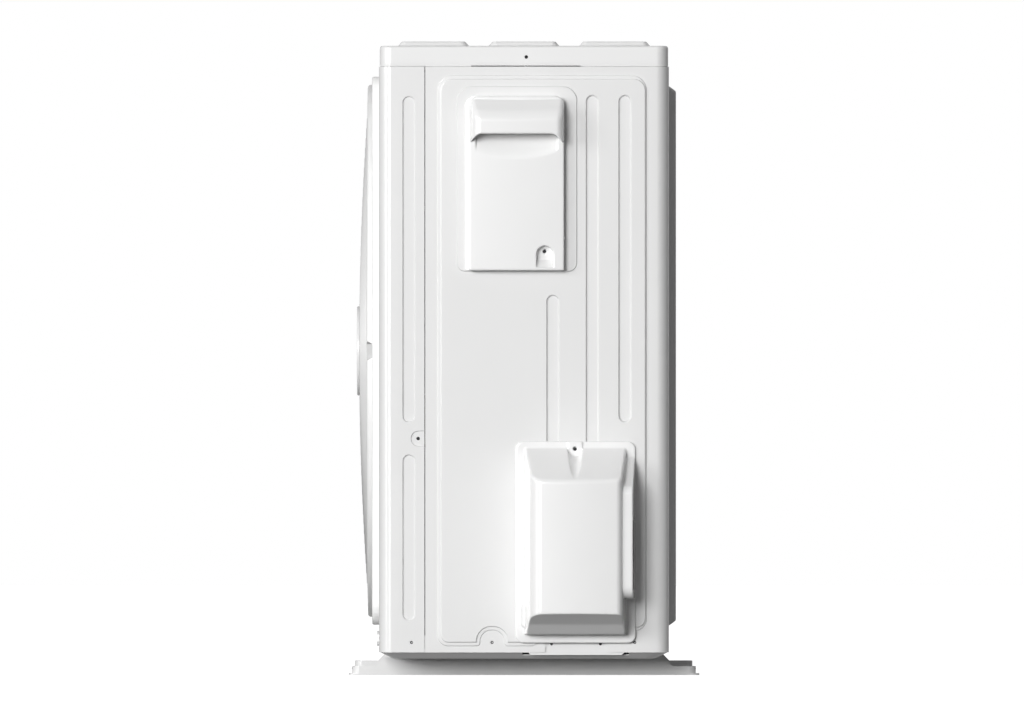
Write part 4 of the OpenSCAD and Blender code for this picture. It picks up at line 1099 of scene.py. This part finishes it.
def guard_base():
    """Rounded square plate with a raised ring, notched where the ring meets the service side."""
    half = (GUARD_HI[0] - GUARD_LO[0]) / 2
    corner = 28.0
    back, face = GUARD_HI[1], GUARD_HI[1] - 10

    def square(inset):
        """Distance from the middle to the rounded square along an angle."""
        def ray(_, t):
            c, s = abs(math.cos(t)), abs(math.sin(t))
            h, r = half - inset, corner - inset
            k = h - r
            straight = h / max(c, s)
            if straight * min(c, s) <= k:
                return straight
            b = (c + s) * k
            return b + math.sqrt(b * b - (2 * k * k - r * r))
        return ray

    rows = [(square(0), back), (square(0), face + 2.4), (square(0.35), face + 1.1),
            (square(1.1), face + 0.35), (square(2.4), face)]
    rows += [(RING_OUT_R + 0.4, face), (RING_OUT_R, RING_Y + 3), (343.9, RING_Y + 1.2),
             (342.4, RING_Y + 0.3), (340.4, RING_Y), (323, RING_Y), (320.4, RING_Y + 0.5),
             (318.8, RING_Y + 1.8), (RING_IN_R, RING_Y + 4.5), (RING_IN_R, back)]
    notch_half = math.radians(1.6)
    shape = Shape()
    segments = 720
    rings = []
    for r, y in rows:
        ring = []
        for k in range(segments):
            t = 2 * math.pi * k / segments
            turn = min(t, 2 * math.pi - t)
            rr = r(0, t) if callable(r) else r
            # Notch in the ring towards the service side
            yy = face if turn < notch_half and rr >= 334 and y < face else y
            ring.append((FAN_X + rr * math.cos(t), yy, FAN_Z + rr * math.sin(t)))
        rings.append(ring)
    shape.loft(rings, closed=True)
    ob = shape.piece("guard_base_frame", "guard_base")
    weighted_normals(ob)
    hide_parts("guard_base")


def fan_grille():
    """Domed grille of fine rings on radial spokes."""
    shape = Shape()
    rings, spokes, steps = 20, 64, 9
    hub_r, first_r, bar_half, bar_depth = 54.0, 72.0, 1.25, 4.6
    pitch = (RING_IN_R - 5 - first_r) / (rings - 1)
    for i in range(rings):
        r, w = first_r + i * pitch, 1.3
        y = dome_y(r)
        shape.turned([(r - w, y + 0.8), (r - w * 0.5, y), (r + w * 0.5, y), (r + w, y + 0.8),
                      (r + w, y + bar_depth), (r - w, y + bar_depth)],
                     (FAN_X, FAN_Z), 144, closed=True)
    w = bar_half
    section = ((-w, 0.7), (-w * 0.4, 0), (w * 0.4, 0), (w, 0.7), (w, bar_depth), (-w, bar_depth))
    for k in range(spokes):
        t = 2 * math.pi * k / spokes
        out = np.array([math.cos(t), 0, math.sin(t)])
        side = np.array([-math.sin(t), 0, math.cos(t)])
        # Every second spoke stops short of the hub, where they would crowd
        start = hub_r if k % 2 == 0 else first_r + 2 * pitch
        sections = []
        for j in range(steps + 1):
            r = start + (RING_IN_R - start) * j / steps
            middle = np.array([FAN_X, 0, FAN_Z]) + out * r
            front = dome_y(r) + 1.1
            sections.append([middle + side * u + np.array([0, front + v, 0]) for u, v in section])
        shape.loft(sections, caps=True)
    # Boss behind the hub cap
    y0 = dome_y(0)
    shape.turned([(20, y0 + 1.2), (56, y0 + 1.2), (57.6, y0 + 2), (57.6, y0 + 6), (54, y0 + 6.4),
                  (20, y0 + 6.4)], (FAN_X, FAN_Z), 96, closed=True)
    ob = shape.piece("fan_grille_rings", "fan_grille", material=grille_plastic)
    weighted_normals(ob)
    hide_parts("fan_grille")


def hub_cap():
    """Disc in the middle of the grille, slightly dished, with a rounded edge."""
    shape = Shape()
    front, back = CAP_LO[1], CAP_HI[1]
    r = (CAP_HI[0] - CAP_LO[0]) / 2
    profile = [(0.01, back - 0.4), (r - 0.6, back - 0.4), (r, back - 0.8), (r, front + 1.3),
               (r - 0.4, front + 0.45), (r - 1.4, front), (r - 5, front), (r - 6.5, front + 0.5),
               (r - 8, front + 0.55), (30, front + 0.3), (0.01, front + 0.2)]
    shape.turned(profile, (FAN_X, FAN_Z), 128, closed=True)
    ob = shape.piece("hub_cap_disc", "hub_cap")
    weighted_normals(ob)
    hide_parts("hub_cap")


def fan_propeller():
    """Moulded hub with three broad twisted blades."""
    front, back = -158.0, -104.0
    shape = Shape()
    hub = [(6.3, front), (18, front), (20, front + 1.2), (50, front + 2.4), (56, front + 3.6),
           (59, front + 6.5), (60, front + 11), (60, back), (57, back), (56.4, front + 16),
           (17, front + 15), (16, back), (6.3, back)]
    shape.turned(hub, (FAN_X, FAN_Z), 96, closed=True)
    for k in range(8):
        t = 2 * math.pi * (k + 0.5) / 8
        d = np.array([math.cos(t), 0, math.sin(t)])
        base = np.array([FAN_X, -126, FAN_Z])
        shape.bar(base + d * 15, base + d * 57.5, (0, 1, 0), 30, 2.2)
    ob = shape.piece("fan_hub", "fan_propeller")
    weighted_normals(ob)
    blades = Shape()
    n, m = 22, 26
    middle_y, blade_h, r0, r1 = (FAN_LO[1] + FAN_HI[1]) / 2, 28.0, 59.0, 274.0
    for b in range(3):
        rings = []
        for i in range(n + 1):
            ring = []
            for j in range(m + 1):
                t = 2 * j / m - 1
                tip = r1 - 26 * max(0, abs(t) - 0.55) ** 2 / 0.45 ** 2
                r = r0 + (tip - r0) * i / n
                share = (r - r0) / (r1 - r0)
                arc = (46 + 92 * share ** 0.8) / r
                angle = math.pi / 2 - 2 * math.pi * b / 3 + 0.30 * share ** 1.6 - arc * t
                y = middle_y + blade_h * (0.96 * t - 0.12 * (1 - t * t)) * (1 - 0.12 * share)
                ring.append((FAN_X + r * math.cos(angle), y, FAN_Z + r * math.sin(angle)))
            rings.append(ring)
        blades.loft(rings, wrap=False)
    ob = blades.piece("fan_blades", "fan_propeller")
    mod = ob.modifiers.new("thickness", "SOLIDIFY")
    mod.thickness = 2.6 * MM
    mod.offset = 0
    soften(ob, 0.8, 50)
    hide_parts("fan_propeller")


def fan_orifice():
    """Bell mouth behind the round opening of the front panel."""
    lo, hi = corners("fan_orifice")
    r = 283.0
    shape = Shape()
    curve = [(r + 16 - 16 * math.sin(t), lo[1] + 0.7 + 16 - 16 * math.cos(t))
             for t in [math.pi / 2 * k / 8 for k in range(9)]]
    shape.turned([(r + 26.4, lo[1] + 0.7)] + curve + [(r, hi[1] - 2), (r + 1.2, hi[1] - 0.4)],
                 (FAN_X, FAN_Z), 160)
    ob = shape.piece("fan_orifice_bell", "fan_orifice")
    solid_sheet(ob, 1.2)
    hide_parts("fan_orifice")


# ---- Rear side ---------------------------------------------------------------------------

def rear_grille():
    """Guard over the coil: a sloped frame that carries a net of bars."""
    low, high = REAR_LO, REAR_HI
    slope, rim = 6.8, 12.0
    shape = Shape()

    def outline(dx, dz, y, r):
        return [(q[0], y, q[1]) for q in
                filleted(box_outline(low[0] + dx, high[0] - dx, low[2] + dz, high[2] - dz), r, 0, 5)]

    back, front = low[1], high[1]
    shape.loft([outline(0, 0, back, 4), outline(0, 0.6, back + 1, 4),
                outline(0.2, slope - 1.2, front - 2.0, 4), outline(0.8, slope + 0.2, front - 0.5, 3.5),
                outline(2.2, slope + 2, front, 3.2), outline(rim - 1.6, rim + slope - 1.6, front, 2.5),
                outline(rim - 0.4, rim + slope - 0.4, front - 0.5, 2.2),
                outline(rim, rim + slope, front - 1.8, 2), outline(rim, rim + slope, back, 2)],
               closed=True)
    x0, x1, z0, z1 = low[0] + rim, high[0] - rim, low[2] + rim + slope, high[2] - rim - slope
    columns, rows = 36, 24
    for i in range(1, columns):
        x = x0 + (x1 - x0) * i / columns
        shape.bar((x, back + 5.4, z0 - 1), (x, back + 5.4, z1 + 1), (1, 0, 0), 2.4, 3.4)
    for i in range(1, rows):
        z = z0 + (z1 - z0) * i / rows
        shape.bar((x0 - 1, back + 7.6, z), (x1 + 1, back + 7.6, z), (0, 0, 1), 3.0, 3.6)
    ob = shape.piece("rear_grille_net", "rear_grille")
    weighted_normals(ob)
    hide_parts("rear_grille")


def coil_fins():
    """Bent pack of thin fins on its rows of tubes."""
    low, high = COIL_LO, COIL_HI
    path = BentPath([(high[0], high[1]), (low[0], high[1]), (low[0], low[1])], 60)
    shape = Shape()
    pitch, half, depth, gap = 2.6, 0.22, 38.0, 0.2
    count = int(path.length / pitch)
    us = (np.arange(count) + 0.5) * path.length / count
    outer = path.place(us, np.zeros(count), np.full(count, -gap))
    inner = path.place(us, np.zeros(count), np.full(count, gap - depth))
    # Each fin is corrugated, so that no one sees straight through the pack
    wave = 1.1
    waves = [(0, 0), (1 / 8, wave), (3 / 8, -wave), (5 / 8, wave), (7 / 8, -wave), (1, 0)]
    for a, b in zip(outer, inner):
        d = (b - a) / np.linalg.norm(b - a)
        n = np.array([-d[1], d[0], 0])
        near = [a + (b - a) * along + n * (off - half) for along, off in waves]
        far = [a + (b - a) * along + n * (off + half) for along, off in reversed(waves)]
        plan = near + far
        bottom, size = len(shape.verts), len(plan)
        shape.loft([[(q[0], q[1], z) for q in plan] for z in (low[2], high[2])])
        # Lower end, seen from below, and upper end
        for base, order in ((bottom, -1), (bottom + size, 1)):
            for k in range(len(waves) - 1):
                quad = [base + i for i in (k, k + 1, size - k - 2, size - k - 1)]
                shape.faces.append(tuple(quad[::order]))
    ob = shape.piece("coil_fin_pack", "coil_fins", smooth=False)
    coil_tubes(path)
    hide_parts("coil_fins")


def coil_tubes(path):
    """Two staggered rows of tubes through the fins, along the path of the pack."""
    tube_r, steps, sides = 3.6, 60, 8
    low_z, high_z, pitch = 60, 760, 25
    rows = ((9.5, 0), (28.5, pitch / 2))      # (depth in the pack, offset upwards)
    tubes = Shape()
    us = np.linspace(0.3, path.length - 0.3, steps)
    up = np.array([0, 0, 1])
    turns = [2 * math.pi * k / sides for k in range(sides)]
    for z0 in range(low_z, high_z, pitch):
        for back, offset in rows:
            centre = path.place(us, np.full(steps, z0 + float(offset)), np.full(steps, -back))
            rings = []
            for i, c in enumerate(centre):
                d = centre[min(i + 1, steps - 1)] - centre[max(i - 1, 0)]
                d /= np.linalg.norm(d)
                side = np.array([d[1], -d[0], 0])
                rings.append([c + tube_r * (math.cos(q) * side + math.sin(q) * up) for q in turns])
            tubes.loft(rings)
    tubes.piece("coil_tubes", "coil_fins", slot="copper")


# ---- Screws ------------------------------------------------------------------------------

def screw(shape, place, axis, r=2.05, length=5.0):
    """Pan head with a cross recess; its face is at place and looks along +X or -X."""
    axis = np.array(axis, dtype=float)
    u = np.array([0, 1, 0])
    v = np.cross(axis, u)
    n = 32
    rings = []
    # From the floor of the recess out to the rim and back along the shank
    for radius, depth, cross in ((0.05, 0.9, 0), (0.55, 0.85, 0.35), (0.8, 0.15, 0.35),
                                 (0.88, 0.0, 0.33), (1.7, 0.12, 0), (r, 0.5, 0), (r, length, 0)):
        ring = []
        for k in range(n):
            t = 2 * math.pi * k / n
            q = radius * (1 + cross * math.cos(4 * t))
            ring.append(np.array(place) - axis * depth + q * (math.cos(t) * u + math.sin(t) * v))
        rings.append(ring)
    shape.loft(rings, caps=True)


def screws():
    """Heads of all screws, each sunk a little below the sheet or cover round it."""
    cabinet = Shape()
    recess_sink, sheet_sink, roof_sink = 3.4, 1.15, 2.0
    for side in (-1, 1):
        for (y, z), sink in zip(FRONT_SCREWS, (recess_sink, sheet_sink)):
            screw(cabinet, (side * (SIDE_X - sink), y, z), (side, 0, 0))
    for y, z in SIDE_SCREWS + VALVE_PLATE_SCREWS:
        screw(cabinet, (SIDE_X - sheet_sink, y, z), (1, 0, 0))
    ob = cabinet.piece("cabinet_screw_heads", "cabinet_screws")
    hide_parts("cabinet_screws")
    roof = Shape()
    for side in (-1, 1):
        screw(roof, (side * (ROOF_HI[0] - roof_sink), *ROOF_SCREW), (side, 0, 0))
    ob = roof.piece("top_cover_screw_heads", "top_cover_screws")
    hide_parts("top_cover_screws")
    for node, sink in (("wiring_cover_screw", 0.6), ("valve_cover_screw", 1.6)):
        low, high = corners(node)
        one = Shape()
        screw(one, (high[0] - sink, (low[1] + high[1]) / 2, (low[2] + high[2]) / 2), (1, 0, 0), 2.1, 9)
        ob = one.piece(node + "_head", node)
        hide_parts(node)


# ---- Stage, light and camera -------------------------------------------------------------

def stage():
    """Pale floor a hair below the feet."""
    floor_r, drop = 14.0, 0.0005
    floor = bpy.data.meshes.new("floor")
    bm = bmesh.new()
    bmesh.ops.create_circle(bm, cap_ends=True, segments=96, radius=floor_r)
    bm.to_mesh(floor)
    bm.free()
    ob = bpy.data.objects.new("floor", floor)
    ob.location = (0, 0, -drop)
    bpy.context.scene.collection.objects.link(ob)
    mat, _, shader = new_material("floor_white")
    shader.inputs["Base Color"].default_value = (0.5, 0.5, 0.5, 1)
    shader.inputs["Roughness"].default_value = 0.9
    shader.inputs["Specular IOR Level"].default_value = 0.0
    # A floor lit from within stays pale out to the horizon
    shader.inputs["Emission Color"].default_value = (1, 1, 1, 1)
    shader.inputs["Emission Strength"].default_value = FLOOR_GLOW
    floor.materials.append(mat)
    # The floor shows and takes shadows but throws no light back up
    ob.visible_diffuse = False
    ob.visible_glossy = False


def world():
    """White to the eye, a low soft light to everything else, weaker from below."""
    w = bpy.data.worlds.new("studio")
    bpy.context.scene.world = w
    w.use_nodes = True
    tree = w.node_tree
    back = tree.nodes["Background"]
    back.inputs["Color"].default_value = (1, 1, 1, 1)
    where = tree.nodes.new("ShaderNodeTexCoord")
    split = tree.nodes.new("ShaderNodeSeparateXYZ")
    tree.links.new(where.outputs["Generated"], split.inputs["Vector"])
    ambient = tree.nodes.new("ShaderNodeMapRange")
    ambient.inputs["From Min"].default_value = -0.15
    ambient.inputs["From Max"].default_value = 0.15
    ambient.inputs["To Min"].default_value = AMBIENT_LOW
    ambient.inputs["To Max"].default_value = AMBIENT_HIGH
    tree.links.new(split.outputs["Z"], ambient.inputs["Value"])
    path = tree.nodes.new("ShaderNodeLightPath")
    level = tree.nodes.new("ShaderNodeMix")
    tree.links.new(path.outputs["Is Camera Ray"], level.inputs["Factor"])
    tree.links.new(ambient.outputs["Result"], level.inputs["A"])
    level.inputs["B"].default_value = 1.0
    # Mirror-like surfaces see a lighter room
    seen = tree.nodes.new("ShaderNodeMix")
    tree.links.new(path.outputs["Is Glossy Ray"], seen.inputs["Factor"])
    tree.links.new(level.outputs["Result"], seen.inputs["A"])
    seen.inputs["B"].default_value = GLOSSY_ROOM
    tree.links.new(seen.outputs["Result"], back.inputs["Strength"])


def area_light(name, direction, distance, size, power, target=(0, 0, 0.4)):
    """Round light that shines on the target from the given direction."""
    data = bpy.data.lights.new(name, "AREA")
    data.shape = "DISK"
    data.size = size
    data.energy = power
    ob = bpy.data.objects.new(name, data)
    d = Vector(direction).normalized()
    ob.location = Vector(target) + d * distance
    ob.rotation_euler = d.to_track_quat("Z", "Y").to_euler()
    bpy.context.scene.collection.objects.link(ob)
    ob.visible_camera = False
    return ob


def from_angles(turn, up):
    """Unit direction: turn from +X towards the front, up above the ground, in degrees."""
    turn, up = math.radians(turn), math.radians(up)
    return (math.cos(up) * math.cos(turn), -math.cos(up) * math.sin(turn), math.sin(up))


def lights():
    """Low key light from the service side, softer ones from the front, the left and above."""
    middle = (0.2, 0, 0.4)
    for name, turn, up, power in (("key", 19, 11, KEY_POWER), ("fill_front", 52, 10, FILL_POWER),
                                  ("left_front", 152, 12, FAR_POWER),
                                  ("left_rear", 215, 12, FAR_POWER)):
        ob = area_light(name, from_angles(turn, up), LIGHT_DISTANCE, LIGHT_SIZE, power, middle)
        if power == FAR_POWER:
            ob.visible_glossy = False     # no glare on the roof
    area_light("overhead", (0, 0, 1), 5.0, 4.0, TOP_POWER)


def camera():
    """Long lens square to the service side, far enough to flatten the perspective as the photo does."""
    width_seen = 1.3064               # metres across the picture, in the plane of that side
    data = bpy.data.cameras.new("camera")
    data.lens = 1000
    data.sensor_width = 36
    ob = bpy.data.objects.new("camera", data)
    distance = width_seen * data.lens / data.sensor_width
    ob.location = (SIDE_X * MM + distance, -0.0153, 0.4038)
    ob.rotation_euler = (math.pi / 2, 0, math.pi / 2)
    data.clip_start, data.clip_end = 0.1, 200
    bpy.context.scene.collection.objects.link(ob)
    bpy.context.scene.camera = ob


for node, ob in frame["nodes"].items():
    ob.data.materials.clear()
    ob.data.materials.append(SLOT_MATERIAL[NODE_SLOT[node]])
    soften(ob, 0.5)

side_panel()
front_panel()
top_cover()
left_grille()
base_pan()
guard_base()
fan_grille()
hub_cap()
fan_propeller()
fan_orifice()
rear_grille()
coil_fins()
screws()
valve_cover()
wiring_cover()
stage()
world()
lights()
camera()
bpy.context.scene.view_settings.view_transform = "Standard"
